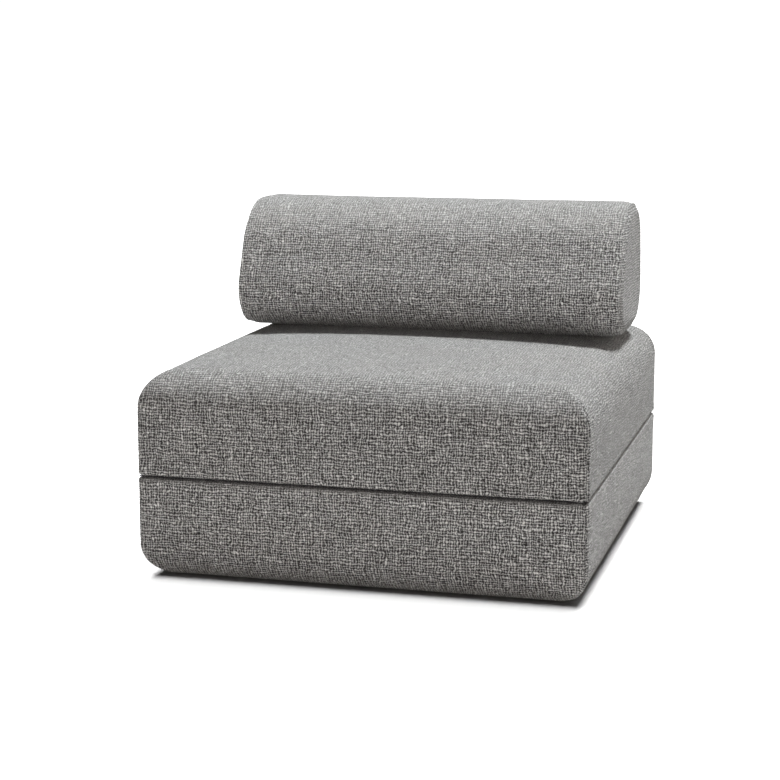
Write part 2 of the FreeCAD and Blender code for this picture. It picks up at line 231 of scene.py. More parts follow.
def value_noise(p, seed, octaves=3):
    """Smooth noise in -1..1 at points p (n, 3), in cells of one unit."""
    total, amp, norm = np.zeros(len(p)), 1.0, 0.0
    for o in range(octaves):
        q = p * (2.0**o) + 17.3 * o + seed * 3.1
        i = np.floor(q).astype(np.int64)
        f = q - i
        f = f * f * (3 - 2 * f)
        acc = np.zeros(len(p))
        for dx in (0, 1):
            for dy in (0, 1):
                for dz in (0, 1):
                    h = (
                        (i[:, 0] + dx) * 374761393
                        + (i[:, 1] + dy) * 668265263
                        + (i[:, 2] + dz) * 2147483647
                        + seed * 1274126177
                    ) & 0xFFFFFFFF
                    h = ((h ^ (h >> 13)) * 1274126177) & 0xFFFFFFFF
                    h = (h ^ (h >> 16)) & 0xFFFFFF
                    v = h / float(0xFFFFFF) * 2 - 1
                    w = (
                        (f[:, 0] if dx else 1 - f[:, 0])
                        * (f[:, 1] if dy else 1 - f[:, 1])
                        * (f[:, 2] if dz else 1 - f[:, 2])
                    )
                    acc += v * w
        total += amp * acc
        norm += amp
        amp *= 0.5
    return total / norm


class Patchwork:
    """Patches of quads that share their edges, with a uv for each corner and numbers for each vertex."""

    def __init__(self):
        self.v, self.f, self.uv, self.part, self.num = [], [], [], [], {}
        self.count = 0

    def patch(self, points, uv, part, flip=False, **numbers):
        """points (m, n, 3) and uv (m, n, 2); faces face along the cross of the n and m directions, or against it if flip."""
        m, n = points.shape[:2]
        start = self.count
        self.v.append(points.reshape(-1, 3))
        self.count += m * n
        idx = start + np.arange(m * n).reshape(m, n)
        a, b, c, d = idx[:-1, :-1], idx[:-1, 1:], idx[1:, 1:], idx[1:, :-1]
        ua, ub, uc, ud = uv[:-1, :-1], uv[:-1, 1:], uv[1:, 1:], uv[1:, :-1]
        if flip:
            quads = np.stack([b, a, d, c], -1)
            quv = np.stack([ub, ua, ud, uc], -2)
        else:
            quads = np.stack([a, b, c, d], -1)
            quv = np.stack([ua, ub, uc, ud], -2)
        self.f.append(quads.reshape(-1, 4))
        self.uv.append(quv.reshape(-1, 4, 2))
        p = np.full((m - 1, n - 1), part) if np.isscalar(part) else part
        self.part.append(p.reshape(-1))
        for k, val in numbers.items():
            self.num.setdefault(k, {})[start] = np.broadcast_to(val, (m, n)).reshape(-1)

    def done(self):
        v = np.concatenate(self.v)
        f = np.concatenate(self.f)
        uv = np.concatenate(self.uv)
        part = np.concatenate(self.part)
        nums = {}
        for k, chunks in self.num.items():
            a = np.full(len(v), np.inf)
            for s, c in chunks.items():
                a[s : s + len(c)] = c
            nums[k] = a
        key = np.round(v * 2e5).astype(np.int64)
        _, first, back = np.unique(key, axis=0, return_index=True, return_inverse=True)
        back = back.reshape(-1)
        merged = {}
        for k, a in nums.items():
            m = np.full(len(first), np.inf)
            np.minimum.at(m, back, a)
            merged[k] = m
        return v[first], back[f], uv, part, merged


def compact(v, f, uv, nums, keep):
    """The part of a mesh that holds the faces marked in keep."""
    f, uv = f[keep], uv[keep]
    used = np.unique(f)
    new = np.full(len(v), -1)
    new[used] = np.arange(len(used))
    return v[used], new[f], uv, {k: a[used] for k, a in nums.items()}, used


def vertex_normals(v, f):
    """f is quads, or quads with a repeated corner for triangles."""
    n = np.zeros_like(v)
    d1, d2 = v[f[:, 2]] - v[f[:, 0]], v[f[:, 3]] - v[f[:, 1]]
    fn = np.cross(d1, d2)
    for k in range(4):
        np.add.at(n, f[:, k], fn)
    return n / np.maximum(np.linalg.norm(n, axis=1), 1e-12)[:, None]


def clean_faces(f, uv):
    """Quads with two equal corners become triangles, as lists."""
    faces, corner_uv = [], []
    for q, t in zip(f, uv):
        keep = [k for k in range(4) if q[k] != q[(k + 1) % 4]]
        if len(keep) >= 3:
            faces.append([int(q[k]) for k in keep])
            corner_uv.extend([t[k] for k in keep])
    return faces, corner_uv


# ---------------------------------------------------------------- the shape of a block
EDGE_STEPS = np.array([116, 94, 74, 56, 40, 27, 17, 10, 5.6, 2.8, 1.2, 0]) / 1000
ZIP_LOW, ZIP_HIGH, ZIP_HALF = 0.0460, 0.0570, 0.4085
INSET = 0.060


def columns(half, cell, snap=None):
    """Places across a block's side, close together near its corners. at(d) gives them where the side is d in from full."""
    c = half - R_OUT - INSET
    n = int(round(2 * c / cell))
    mid = np.linspace(-c, c, n + 1)
    f = 1 - EDGE_STEPS / (R_OUT + INSET)
    g = np.arange(1, len(f) + 1) / len(f)

    def at(d):
        beta = min(d / R_OUT, 1.0)
        e = c + (half - d - c) * ((1 - beta) * f + beta * g)
        return np.concatenate([-e[::-1], mid, e])

    return at


def block_shape(cell=0.014, shrink=0.0):
    """A block standing on its sleeping face at height 0, outer face at TALL.
    Parts: 0 cover cap, 1 sleeping panel, 2 hinge band, 3 the zip's opening. Numbers: corner = distance to an upright corner seam, rim = distance to the rim seam, flat = how far in from the outline."""
    a, b, tall = W2 - shrink, D2 - shrink, TALL - 2 * shrink
    r_out, r_face = R_OUT - shrink, R_FACE
    xs, ys = columns(a, cell), columns(b, cell)
    # the section, from the rim of the sleeping face to the rim of the outer face: (inset, height, length down from the outer face)
    sect = []
    for t in np.linspace(90, 0, 5):
        r = math.radians(t)
        sect.append((r_face * (1 - math.cos(r)), r_face * (1 - math.sin(r))))
    seam_ring = 2
    up = tall - r_out
    for q in [7.5, 11, 16, 24, 34.5, 46, 57, 73, 90, 107, 123]:
        if q / 1000 < up - 0.004:
            sect.append((0.0, q / 1000))
    for t in np.linspace(0, 90, 13):
        r = math.radians(t)
        sect.append((r_out * (1 - math.cos(r)), up + r_out * math.sin(r)))
    sect = np.array(sect)
    seg = np.r_[0, np.cumsum(np.hypot(*np.diff(sect, axis=0).T))]
    down = seg[-1] - seg  # along the cloth from the outer face's rim
    rim = np.abs(seg - seg[seam_ring])
    w = Patchwork()
    px, py, pu = [], [], []
    for (d, h), s in zip(sect, down):
        px.append(xs(d))
        py.append(ys(d))
    px, py = np.array(px), np.array(py)  # (rings, columns)
    d, h = sect[:, :1], sect[:, 1:]
    rc = R_UP * (1 - np.clip(d / r_out, 0, 1))  # plan rounding at each ring

    def side(along, half_along, half_across):
        """Plan positions (along, across) of a side's columns, with the corner rounded."""
        t = (half_along - d) - np.abs(along)  # to the corner
        across = np.broadcast_to(half_across - d, along.shape).copy()
        out = along.copy()
        near = (t < rc) & (rc > 1e-5)
        ang = (1 - t / np.maximum(rc, 1e-9)) * (math.pi / 4)
        sgn = np.sign(along)
        out = np.where(near, sgn * (half_along - d - rc + rc * np.sin(ang)), out)
        across = np.where(near, half_across - d - rc + rc * np.cos(ang), across)
        return out, across, t

    nr = len(sect)
    part = np.zeros((nr - 1, 1), int)
    part[:seam_ring] = 1
    fade = np.clip(1 - d / r_out, 0, 1)
    S = down[:, None]
    for name in ("front", "right", "back", "left"):
        if name in ("front", "back"):
            al, ac, t = side(px, a, b)
            y = -ac if name == "front" else ac
            pts = np.stack([al, y, np.broadcast_to(h, al.shape)], -1)
            vv = (b - r_out) + S
            uv = np.stack([px, np.broadcast_to(-vv if name == "front" else vv, px.shape)], -1)
        else:
            al, ac, t = side(py, b, a)
            x = ac if name == "right" else -ac
            pts = np.stack([x, al, np.broadcast_to(h, al.shape)], -1)
            uu = (a - r_out) + S
            uv = np.stack([np.broadcast_to(uu if name == "right" else -uu, py.shape), py], -1)
        p = np.broadcast_to(part, (nr - 1, pts.shape[1] - 1)).copy()
        if name == "front":
            p[:seam_ring] = 2
        if name == "back":
            hm = (h[:-1] + h[1:]) / 2
            xm = (pts[:-1, :-1, 0] + pts[:-1, 1:, 0]) / 2
            p[(hm > ZIP_LOW) & (hm < ZIP_HIGH) & (np.abs(xm) < ZIP_HALF)] = 3
        w.patch(
            pts, uv, p, flip=name in ("back", "left"),
            corner=t + 0.0, rim=np.broadcast_to(rim[:, None], t.shape),
            flat=np.broadcast_to(d, t.shape), pull=np.broadcast_to(1 - fade, t.shape),
        )
    X, Y = px[-1], py[-1]
    gx, gy = np.meshgrid(X, Y)
    edge = np.minimum(X.max() - np.abs(gx), Y.max() - np.abs(gy))
    w.patch(
        np.stack([gx, gy, np.full_like(gx, tall)], -1), np.stack([gx, gy], -1), 0,
        corner=np.full_like(gx, 1.0), rim=np.full_like(gx, 1.0), flat=edge + r_out, pull=np.full_like(gx, 1.0),
    )
    X, Y = px[0], py[0]
    band_y = HINGE_Y + 0.0005 + BAND
    k = int(np.argmin(np.abs(Y - band_y)))
    Yb = Y.copy()
    Yb[k] = band_y
    gx, gy = np.meshgrid(X, Yb)
    edge = np.minimum(X.max() - np.abs(gx), Yb.max() - np.abs(gy))
    p = np.ones((len(Yb) - 1, len(X) - 1), int)
    p[:k] = 2
    w.patch(
        np.stack([gx, gy, np.zeros_like(gx)], -1), np.stack([gx + 2.0, gy], -1), p, flip=True,
        corner=np.full_like(gx, 1.0), rim=edge + rim[0], flat=edge + r_face, pull=np.full_like(gx, 1.0),
    )
    v, f, uv, part, nums = w.done()
    return v, f, uv, part, nums


def crown_at(x, y):
    """How far the seat's top stands above its rim plane."""
    X, Y = np.clip(x / W2, -1, 1), np.clip(y / D2, -1, 1)
    return CROWN * (1 - X**2) * (1 - Y**2) * (1 + 0.25 * (X**2 + Y**2))


def held(move, n, want, where):
    """The blown cover's movement as the stuffing leaves it: outward only, brought to the size of want in the places
    marked in where, and softly capped a little above want everywhere."""
    out = np.maximum((move * n).sum(1), 0.0)
    scale = np.zeros(len(out))
    total = np.zeros(len(out))
    for w in where:
        top = np.quantile(out[w > 0.9], 0.97)
        scale += w * np.quantile(want[w > 0.9], 0.97) / max(top, 1e-6)
        total += w
    out = out * scale / np.maximum(total, 1e-6)
    cap = 1.06 * want + 0.0004
    return n * np.maximum(cap * np.tanh(2.2 * out / cap), 0.85 * want)[:, None]


def fill_block(v, f, nums, upper):
    """The stuffing pushes the cover out: the outer face crowns and the sides swell between their seams."""
    n = vertex_normals(v, f)
    x, y, h = v.T
    up = np.clip((h - (TALL - R_OUT)) / R_OUT, 0, 1)
    side = np.clip(1 - np.abs(n[:, 2]), 0, 1)
    zip_hold = np.where((y > 0.44), np.exp(-(((h - 0.0515) / 0.022) ** 2)), 0.0)
    along = np.where(np.abs(n[:, 0]) > np.abs(n[:, 1]), y / D2, x / W2)
    swell_by = (1 - np.clip(np.abs(along), 0, 1) ** 6) * np.sin(np.clip(h / (TALL - 0.03), 0, 1) * math.pi) ** 0.7
    want = (0.0022 + 0.0014 * n[:, 0] ** 2) * side * swell_by * (1 - zip_hold)
    want = want + (crown_at(x, y) * np.clip(up * 1.6, 0, 1) * np.clip(n[:, 2], 0, 1) if upper else 0.0)
    pin = np.exp(-((nums["rim"] / 0.004) ** 2))
    pin = np.maximum(pin, np.exp(-((nums["corner"] / 0.003) ** 2)))
    pin = np.maximum(pin, zip_hold)
    pin[(h < 0.004)] = 1.0
    if not upper:
        pin[h > TALL - 0.004] = 1.0
    move = swell(v, f, pin)
    flat = np.clip(up * 1.3 - 0.3, 0, 1)
    print("swell", "seat" if upper else "base", "top", np.abs(move[up > 0.98]).max(), "side", np.abs(move[(side > 0.9)]).max())
    move = held(move, n, want, [flat, 1 - flat])
    print("held", np.linalg.norm(move[up > 0.98], axis=1).max(), np.linalg.norm(move[side > 0.9], axis=1).max())
    return v + move


def dress_block(v, f, nums, seed, slack, upper):
    """Sewn details on the filled shape: seams that pull in, the roll beside them, small puckers and slack."""
    n = vertex_normals(v, f)
    x, y, h = v.T
    side = np.clip(1 - np.abs(n[:, 2]), 0, 1)
    corner, rim, pull = nums["corner"], nums["rim"], nums["pull"]
    strength = np.clip(1 - pull, 0, 1) ** 0.6
    groove = 0.0021 * np.exp(-((corner / 0.0026) ** 2)) * strength
    roll = 0.0010 * np.exp(-(((corner - 0.010) / 0.007) ** 2)) * strength
    fore = n[:, 1] ** 2  # the front's and the back's share
    groove_rim = 0.0011 * np.exp(-((rim / 0.0022) ** 2)) + (0.0 if upper else 0.0026) * fore * np.exp(-((rim / 0.0055) ** 2)) * side
    roll_rim = 0.0007 * np.exp(-(((rim - 0.010) / 0.007) ** 2)) * side
    pucker = 0.00035 * np.exp(-corner / 0.012) * np.sin(h * 2 * math.pi / 0.017 + 3 * value_noise(v * 30, seed + 5)) * strength
    s_round = np.where(np.abs(n[:, 0]) > np.abs(n[:, 1]), y, x)
    pucker += 0.00030 * np.exp(-rim / 0.012) * np.sin(s_round * 2 * math.pi / 0.019 + 4 * value_noise(v * 25, seed + 9)) * side
    wave = slack * value_noise(v * np.array([7.0, 7.0, 9.0]), seed, 3)
    wave *= np.clip(np.minimum(corner, rim) / 0.03, 0, 1)
    wave *= 1 - np.where(y > 0.44, np.exp(-(((h - 0.0515) / 0.022) ** 2)), 0.0)
    lying = (h < 0.003) & (np.abs(n[:, 2]) > 0.7)
    wave[lying] *= 0.15
    move = n * (wave + pucker + roll + roll_rim - groove - groove_rim)[:, None]
    # the parting edges stand a little apart at the mouth
    inset = np.maximum(nums["flat"] - R_FACE, 0)
    ends = np.abs(x) > np.abs(y) - (D2 - W2)
    mouth = MOUTH[upper] * np.where(ends, 0.5 if not upper else 1.0, 1.0)
    move[:, 2] += mouth * np.exp(-inset / 0.007) * np.clip(1 - (h - 0.0005) / 0.010, 0, 1)
    return v + move


# ---------------------------------------------------------------- materials
def new_material(name):
    m = bpy.data.materials.new(name)
    m.use_nodes = True
    nt = m.node_tree
    nt.nodes.clear()
    out = nt.nodes.new("ShaderNodeOutputMaterial")
    bsdf = nt.nodes.new("ShaderNodeBsdfPrincipled")
    nt.links.new(bsdf.outputs["BSDF"], out.inputs["Surface"])
    return m, nt, bsdf


class Nodes:
    """Short names for building a node tree."""

    def __init__(self, nt):
        self.nt = nt

    def set(self, socket, value):
        if isinstance(value, bpy.types.NodeSocket):
            self.nt.links.new(value, socket)
        elif value is not None:
            socket.default_value = value

    def math(self, op, a, b=None, c=None, clamp=False):
        n = self.nt.nodes.new("ShaderNodeMath")
        n.operation = op
        n.use_clamp = clamp
        for s, v in zip(n.inputs, (a, b, c)):
            self.set(s, v)
        return n.outputs[0]

    def vmath(self, op, a, b=None):
        n = self.nt.nodes.new("ShaderNodeVectorMath")
        n.operation = op
        self.set(n.inputs[0], a)
        if b is not None:
            self.set(n.inputs[3] if op == "SCALE" else n.inputs[1], b)
        return n.outputs[0]

    def combine(self, x, y, z=0.0):
        n = self.nt.nodes.new("ShaderNodeCombineXYZ")
        for s, v in zip(n.inputs, (x, y, z)):
            self.set(s, v)
        return n.outputs[0]

    def separate(self, v):
        n = self.nt.nodes.new("ShaderNodeSeparateXYZ")
        self.set(n.inputs[0], v)
        return n.outputs[0], n.outputs[1], n.outputs[2]

    def noise(self, vec, scale, detail=2.0, rough=0.5, dims="3D"):
        n = self.nt.nodes.new("ShaderNodeTexNoise")
        n.noise_dimensions = dims
        self.set(n.inputs["Vector"], vec)
        n.inputs["Scale"].default_value = scale
        n.inputs["Detail"].default_value = detail
        n.inputs["Roughness"].default_value = rough
        return n.outputs["Fac"]

    def white(self, vec, dims="2D"):
        n = self.nt.nodes.new("ShaderNodeTexWhiteNoise")
        n.noise_dimensions = dims
        self.set(n.inputs["Vector"], vec)
        return n.outputs["Value"]

    def ramp(self, fac, stops):
        n = self.nt.nodes.new("ShaderNodeValToRGB")
        self.set(n.inputs[0], fac)
        while len(n.color_ramp.elements) < len(stops):
            n.color_ramp.elements.new(0.5)
        for e, (p, c) in zip(n.color_ramp.elements, stops):
            e.position = p
            e.color = (*c, 1)
        return n.outputs[0]

    def remap(self, v, a, b, c, d, smooth=False):
        n = self.nt.nodes.new("ShaderNodeMapRange")
        n.interpolation_type = "SMOOTHSTEP" if smooth else "LINEAR"
        for s, x in zip(n.inputs, (v, a, b, c, d)):
            self.set(s, x)
        return n.outputs[0]

    def mix(self, fac, a, b, kind="MIX"):
        n = self.nt.nodes.new("ShaderNodeMix")
        n.data_type = "RGBA"
        n.blend_type = kind
        n.clamp_factor = True
        self.set(n.inputs[0], fac)
        self.set(n.inputs[6], a)
        self.set(n.inputs[7], b)
        return n.outputs[2]

    def bump(self, height, strength, distance, normal=None):
        n = self.nt.nodes.new("ShaderNodeBump")
        self.set(n.inputs["Strength"], strength)
        self.set(n.inputs["Distance"], distance)
        self.set(n.inputs["Height"], height)
        if normal is not None:
            self.set(n.inputs["Normal"], normal)
        return n.outputs[0]


def uv_of(k, name="cloth"):
    n = k.nt.nodes.new("ShaderNodeUVMap")
    n.uv_map = name
    return n.outputs[0]


PITCH_U, PITCH_V = 0.0055, 0.0058  # the weave the picture shows: upright yarns and crossing yarns, in metres


def tweed_material(name, seed=0.0, ends_lit_share=0.0, painted_light_gain=1.0):
    """Coarse plain weave of uneven yarns, light over charcoal, with dark gaps. It lies in the cloth's own uv, in metres."""
    m, nt, bsdf = new_material(name)
    k = Nodes(nt)
    uv = k.vmath("ADD", uv_of(k), (seed * 0.137, seed * 0.071, seed * 0.3))
    u, v, _ = k.separate(uv)
    half = lambda n, amp: k.math("MULTIPLY", k.math("SUBTRACT", n, 0.5), amp)
    # the yarns wander, and crowd together and part again
    w1 = k.noise(uv, 30.0, 2.0)
    w2 = k.noise(k.vmath("ADD", uv, (3.1, 7.7, 1.3)), 30.0, 2.0)
    crowd_u = k.noise(k.combine(k.math("MULTIPLY", u, 62.0), k.math("MULTIPLY", v, 20.0), 2.0 + seed), 1.0, 1.0)
    crowd_v = k.noise(k.combine(k.math("MULTIPLY", u, 16.0), k.math("MULTIPLY", v, 62.0), 6.0 + seed), 1.0, 1.0)
    q1 = k.noise(k.vmath("ADD", uv, (5.3, 1.7, 4.1)), 150.0, 1.0)
    q2 = k.noise(k.vmath("ADD", uv, (8.3, 2.9, 6.1)), 150.0, 1.0)
    U = k.math("ADD", k.math("DIVIDE", u, PITCH_U), k.math("ADD", k.math("ADD", half(w1, 1.6), half(crowd_u, 1.9)), half(q1, 1.15)))
    V = k.math("ADD", k.math("DIVIDE", v, PITCH_V), k.math("ADD", k.math("ADD", half(w2, 1.3), half(crowd_v, 1.5)), half(q2, 1.0)))
    iu, iv = k.math("FLOOR", U), k.math("FLOOR", V)
    fu = k.math("SUBTRACT", k.math("FRACT", U), 0.5)
    fv = k.math("SUBTRACT", k.math("FRACT", V), 0.5)
    # each yarn is thicker and thinner along its length
    slub_a = k.noise(k.combine(k.math("MULTIPLY", iu, 7.31), k.math("MULTIPLY", v, 140.0), 0.3 + seed), 1.0, 2.0)
    slub_b = k.noise(k.combine(k.math("MULTIPLY", u, 120.0), k.math("MULTIPLY", iv, 5.17), 4.7 + seed), 1.0, 2.0)
    wa = k.remap(slub_a, 0.30, 0.70, 0.15, 0.31)
    wb = k.remap(slub_b, 0.30, 0.70, 0.16, 0.32)
    ra, rb = k.math("DIVIDE", fu, wa), k.math("DIVIDE", fv, wb)
    ha = k.math("SUBTRACT", 1.0, k.math("MULTIPLY", ra, ra), clamp=True)
    hb = k.math("SUBTRACT", 1.0, k.math("MULTIPLY", rb, rb), clamp=True)
    # over and under in turn, with strays; each yarn bulges in the middle of its float and dives at the ends
    parity = k.math("MODULO", k.math("ABSOLUTE", k.math("ADD", iu, iv)), 2.0)
    stray = k.white(k.combine(iu, iv, 0.0))
    over = k.math("GREATER_THAN", k.math("ADD", parity, half(stray, 1.5)), 0.5)
    du = k.math("SUBTRACT", 1.0, k.math("MULTIPLY", k.math("MULTIPLY", fu, fu), 2.0))
    dv = k.math("SUBTRACT", 1.0, k.math("MULTIPLY", k.math("MULTIPLY", fv, fv), 2.0))
    la = k.math("MULTIPLY", k.math("MULTIPLY", k.math("SQRT", ha), dv), k.math("MULTIPLY_ADD", over, 0.5, 0.5))
    lb = k.math("MULTIPLY", k.math("MULTIPLY", k.math("SQRT", hb), du), k.math("MULTIPLY_ADD", over, -0.5, 1.0))
    high = k.math("MAXIMUM", la, lb)
    which = k.math("GREATER_THAN", la, lb)
    # the tone changes along each yarn
    tone_a = k.noise(k.combine(k.math("MULTIPLY", iu, 3.77), k.math("MULTIPLY", v, 120.0), 9.1 + seed), 1.0, 2.0)
    tone_b = k.noise(k.combine(k.math("MULTIPLY", u, 95.0), k.math("MULTIPLY", iv, 4.33), 2.2 + seed), 1.0, 2.0)
    tone = k.math("ADD", k.math("MULTIPLY", tone_a, which), k.math("MULTIPLY", tone_b, k.math("SUBTRACT", 1.0, which)))
    cell = k.white(k.combine(iu, iv, 4.0), "3D")
    fibre = k.noise(uv, 700.0, 2.0)
    speck = k.noise(k.vmath("ADD", uv, (2.7, 6.1, 3.9)), 230.0, 2.0)
    cloud = k.noise(k.vmath("ADD", uv, (1.1, 2.2, 3.3)), 22.0, 3.0)
    level = k.math("MULTIPLY_ADD", high, 0.90, 0.0)
    level = k.math("ADD", level, half(tone, 0.55))
    level = k.math("ADD", level, half(cell, 0.28))
    level = k.math("ADD", level, half(speck, 0.50))
    level = k.math("ADD", level, half(fibre, 0.45))
    level = k.math("ADD", level, half(cloud, 0.12))
    # painted shade: upright faces get deeper dark gaps, and faces that look up (and the ends, by their share) shallower
    # ones, standing in for the yarns' self-shadowing under light from above
    geo = nt.nodes.new("ShaderNodeNewGeometry")
    nx, _, nz = k.separate(geo.outputs["Normal"])
    lying = k.math("MAXIMUM", nz, k.math("MULTIPLY", k.math("ABSOLUTE", nx), ends_lit_share))
    painted_shade_depth = k.remap(lying, 0.12, 0.72, 0.67, 0.37)
    level = k.math("MULTIPLY_ADD", k.math("SUBTRACT", level, 0.49), painted_shade_depth, 0.49)
    col = k.ramp(level, [(0.0, (0.020, 0.020, 0.021)), (0.22, (0.072, 0.071, 0.070)), (0.46, (0.262, 0.259, 0.255)), (0.68, (0.50, 0.496, 0.49)), (0.95, (0.82, 0.815, 0.80))])
    # painted light and shade: each piece's copy of the cloth is made lighter or darker as a whole by this gain
    if painted_light_gain != 1.0:
        col = k.mix(1.0, col, (painted_light_gain, painted_light_gain, painted_light_gain, 1), "MULTIPLY")
    # slow warm and cool drifts
    hue = k.noise(k.vmath("ADD", uv, (9.1, 4.2, 0.3)), 9.0, 2.0)
    cool = k.mix(1.0, col, (0.985, 1.0, 1.01, 1), "MULTIPLY")
    warm = k.mix(1.0, col, (1.01, 1.0, 0.985, 1), "MULTIPLY")
    k.set(bsdf.inputs["Base Color"], k.mix(k.remap(hue, 0.30, 0.70, 0.32, 0.68), cool, warm))
    height = k.math("MULTIPLY_ADD", fibre, 0.14, k.math("MULTIPLY_ADD", speck, 0.35, high))
    k.set(bsdf.inputs["Normal"], k.bump(height, 0.8, 0.0016))
    k.set(bsdf.inputs["Roughness"], k.remap(high, 0.0, 1.0, 0.98, 0.86))
    bsdf.inputs["Specular IOR Level"].default_value = 0.15
    bsdf.inputs["Sheen Weight"].default_value = 0.10
    bsdf.inputs["Sheen Roughness"].default_value = 0.5
    return m


def fine_cloth(name, dark, light, pitch=0.0011, bump=0.5, rough=0.85):
    """A fine woven tape or lining, in object coordinates along the piece."""
    m, nt, bsdf = new_material(name)
    k = Nodes(nt)
    tc = nt.nodes.new("ShaderNodeTexCoord")
    x, y, z = k.separate(tc.outputs["Object"])
    a = k.math("SINE", k.math("MULTIPLY", k.math("ADD", x, k.math("MULTIPLY", z, 1.0)), 2 * math.pi / pitch))
    b = k.math("SINE", k.math("MULTIPLY", k.math("ADD", k.math("SUBTRACT", x, z), k.math("MULTIPLY", y, 1.0)), 2 * math.pi / pitch))
    lvl = k.math("MULTIPLY_ADD", k.math("MULTIPLY", a, b), 0.25, 0.5)
    n = k.noise(tc.outputs["Object"], 240.0, 2.0)
    big = k.noise(tc.outputs["Object"], 18.0, 2.0)
    lvl2 = k.math("ADD", k.math("MULTIPLY_ADD", k.math("SUBTRACT", n, 0.5), 0.6, lvl), k.math("MULTIPLY", k.math("SUBTRACT", big, 0.5), 0.3))
    k.set(bsdf.inputs["Base Color"], k.ramp(lvl2, [(0.15, dark), (0.85, light)]))
    k.set(bsdf.inputs["Normal"], k.bump(lvl, bump, 0.0004))
    k.set(bsdf.inputs["Roughness"], k.remap(n, 0.3, 0.7, rough - 0.08, rough + 0.08))
    bsdf.inputs["Specular IOR Level"].default_value = 0.25
    return m


def foam_material(name, low, high, cell=900.0):
    m, nt, bsdf = new_material(name)
    k = Nodes(nt)
    tc = nt.nodes.new("ShaderNodeTexCoord")
    vor = nt.nodes.new("ShaderNodeTexVoronoi")
    vor.feature = "F1"
    vor.inputs["Scale"].default_value = cell
    nt.links.new(tc.outputs["Object"], vor.inputs["Vector"])
    big = k.noise(tc.outputs["Object"], 6.0, 3.0)
    lvl = k.math("MULTIPLY_ADD", k.math("SUBTRACT", big, 0.5), 0.8, vor.outputs["Distance"])
    k.set(bsdf.inputs["Base Color"], k.ramp(lvl, [(0.1, low), (0.8, high)]))
    k.set(bsdf.inputs["Normal"], k.bump(vor.outputs["Distance"], 0.6, 0.0008))
    k.set(bsdf.inputs["Roughness"], k.remap(big, 0.3, 0.7, 0.9, 1.0))
    bsdf.inputs["Specular IOR Level"].default_value = 0.1
    return m


def wadding_material(name):
    m, nt, bsdf = new_material(name)
    k = Nodes(nt)
    tc = nt.nodes.new("ShaderNodeTexCoord")
    fib = k.noise(tc.outputs["Object"], 130.0, 6.0, 0.7)
    big = k.noise(tc.outputs["Object"], 14.0, 3.0)
    lvl = k.math("MULTIPLY_ADD", k.math("SUBTRACT", big, 0.5), 0.5, fib)
    k.set(bsdf.inputs["Base Color"], k.ramp(lvl, [(0.25, (0.70, 0.70, 0.68)), (0.75, (0.90, 0.90, 0.88))]))
    k.set(bsdf.inputs["Normal"], k.bump(fib, 0.7, 0.002))
    k.set(bsdf.inputs["Roughness"], k.remap(fib, 0.3, 0.7, 0.88, 1.0))
    return m


def grip_material(name):
    """Black non-slip cloth: rows of small rubber dots on a knitted ground."""
    m, nt, bsdf = new_material(name)
    k = Nodes(nt)
    tc = nt.nodes.new("ShaderNodeTexCoord")
    x, y, z = k.separate(tc.outputs["Object"])
    p = 0.009
    row = k.math("FLOOR", k.math("DIVIDE", y, p * 0.866))
    odd = k.math("MULTIPLY", k.math("MODULO", k.math("ABSOLUTE", row), 2.0), 0.5)
    fx = k.math("SUBTRACT", k.math("FRACT", k.math("ADD", k.math("DIVIDE", x, p), odd)), 0.5)
    fy = k.math("MULTIPLY", k.math("SUBTRACT", k.math("FRACT", k.math("DIVIDE", y, p * 0.866)), 0.5), 0.866)
    r = k.math("SQRT", k.math("ADD", k.math("MULTIPLY", fx, fx), k.math("MULTIPLY", fy, fy)))
    dot = k.remap(r, 0.27, 0.20, 0.0, 1.0, True)
    n = k.noise(tc.outputs["Object"], 420.0, 3.0)
    base = k.ramp(n, [(0.3, (0.022, 0.022, 0.024)), (0.7, (0.060, 0.060, 0.064))])
    col = k.mix(dot, base, (0.018, 0.018, 0.019, 1))
    k.set(bsdf.inputs["Base Color"], col)
    k.set(bsdf.inputs["Normal"], k.bump(k.math("MULTIPLY_ADD", n, 0.25, dot), 0.9, 0.0009))
    k.set(bsdf.inputs["Roughness"], k.remap(dot, 0.0, 1.0, 0.92, 0.48))
    bsdf.inputs["Specular IOR Level"].default_value = 0.35
    return m


def hook_material(name, hooks):
    """Hook or loop tape: rows of stiff hooks, or a soft mat of loops."""
    m, nt, bsdf = new_material(name)
    k = Nodes(nt)
    tc = nt.nodes.new("ShaderNodeTexCoord")
    x, y, z = k.separate(tc.outputs["Object"])
    if hooks:
        a = k.math("SINE", k.math("MULTIPLY", x, 2 * math.pi / 0.0016))
        b = k.math("SINE", k.math("MULTIPLY", y, 2 * math.pi / 0.0019))
        h = k.math("MULTIPLY_ADD", k.math("MULTIPLY", a, b), 0.5, 0.5)
    else:
        h = k.noise(tc.outputs["Object"], 520.0, 5.0, 0.75)
    n = k.noise(tc.outputs["Object"], 90.0, 3.0)
    lvl = k.math("MULTIPLY_ADD", k.math("SUBTRACT", n, 0.5), 0.6, h)
    k.set(bsdf.inputs["Base Color"], k.ramp(lvl, [(0.2, (0.020, 0.020, 0.022)), (0.9, (0.105, 0.105, 0.110))]))
    k.set(bsdf.inputs["Normal"], k.bump(h, 0.9, 0.0009))
    k.set(bsdf.inputs["Roughness"], k.remap(h, 0.0, 1.0, 0.95, 0.7))
    return m


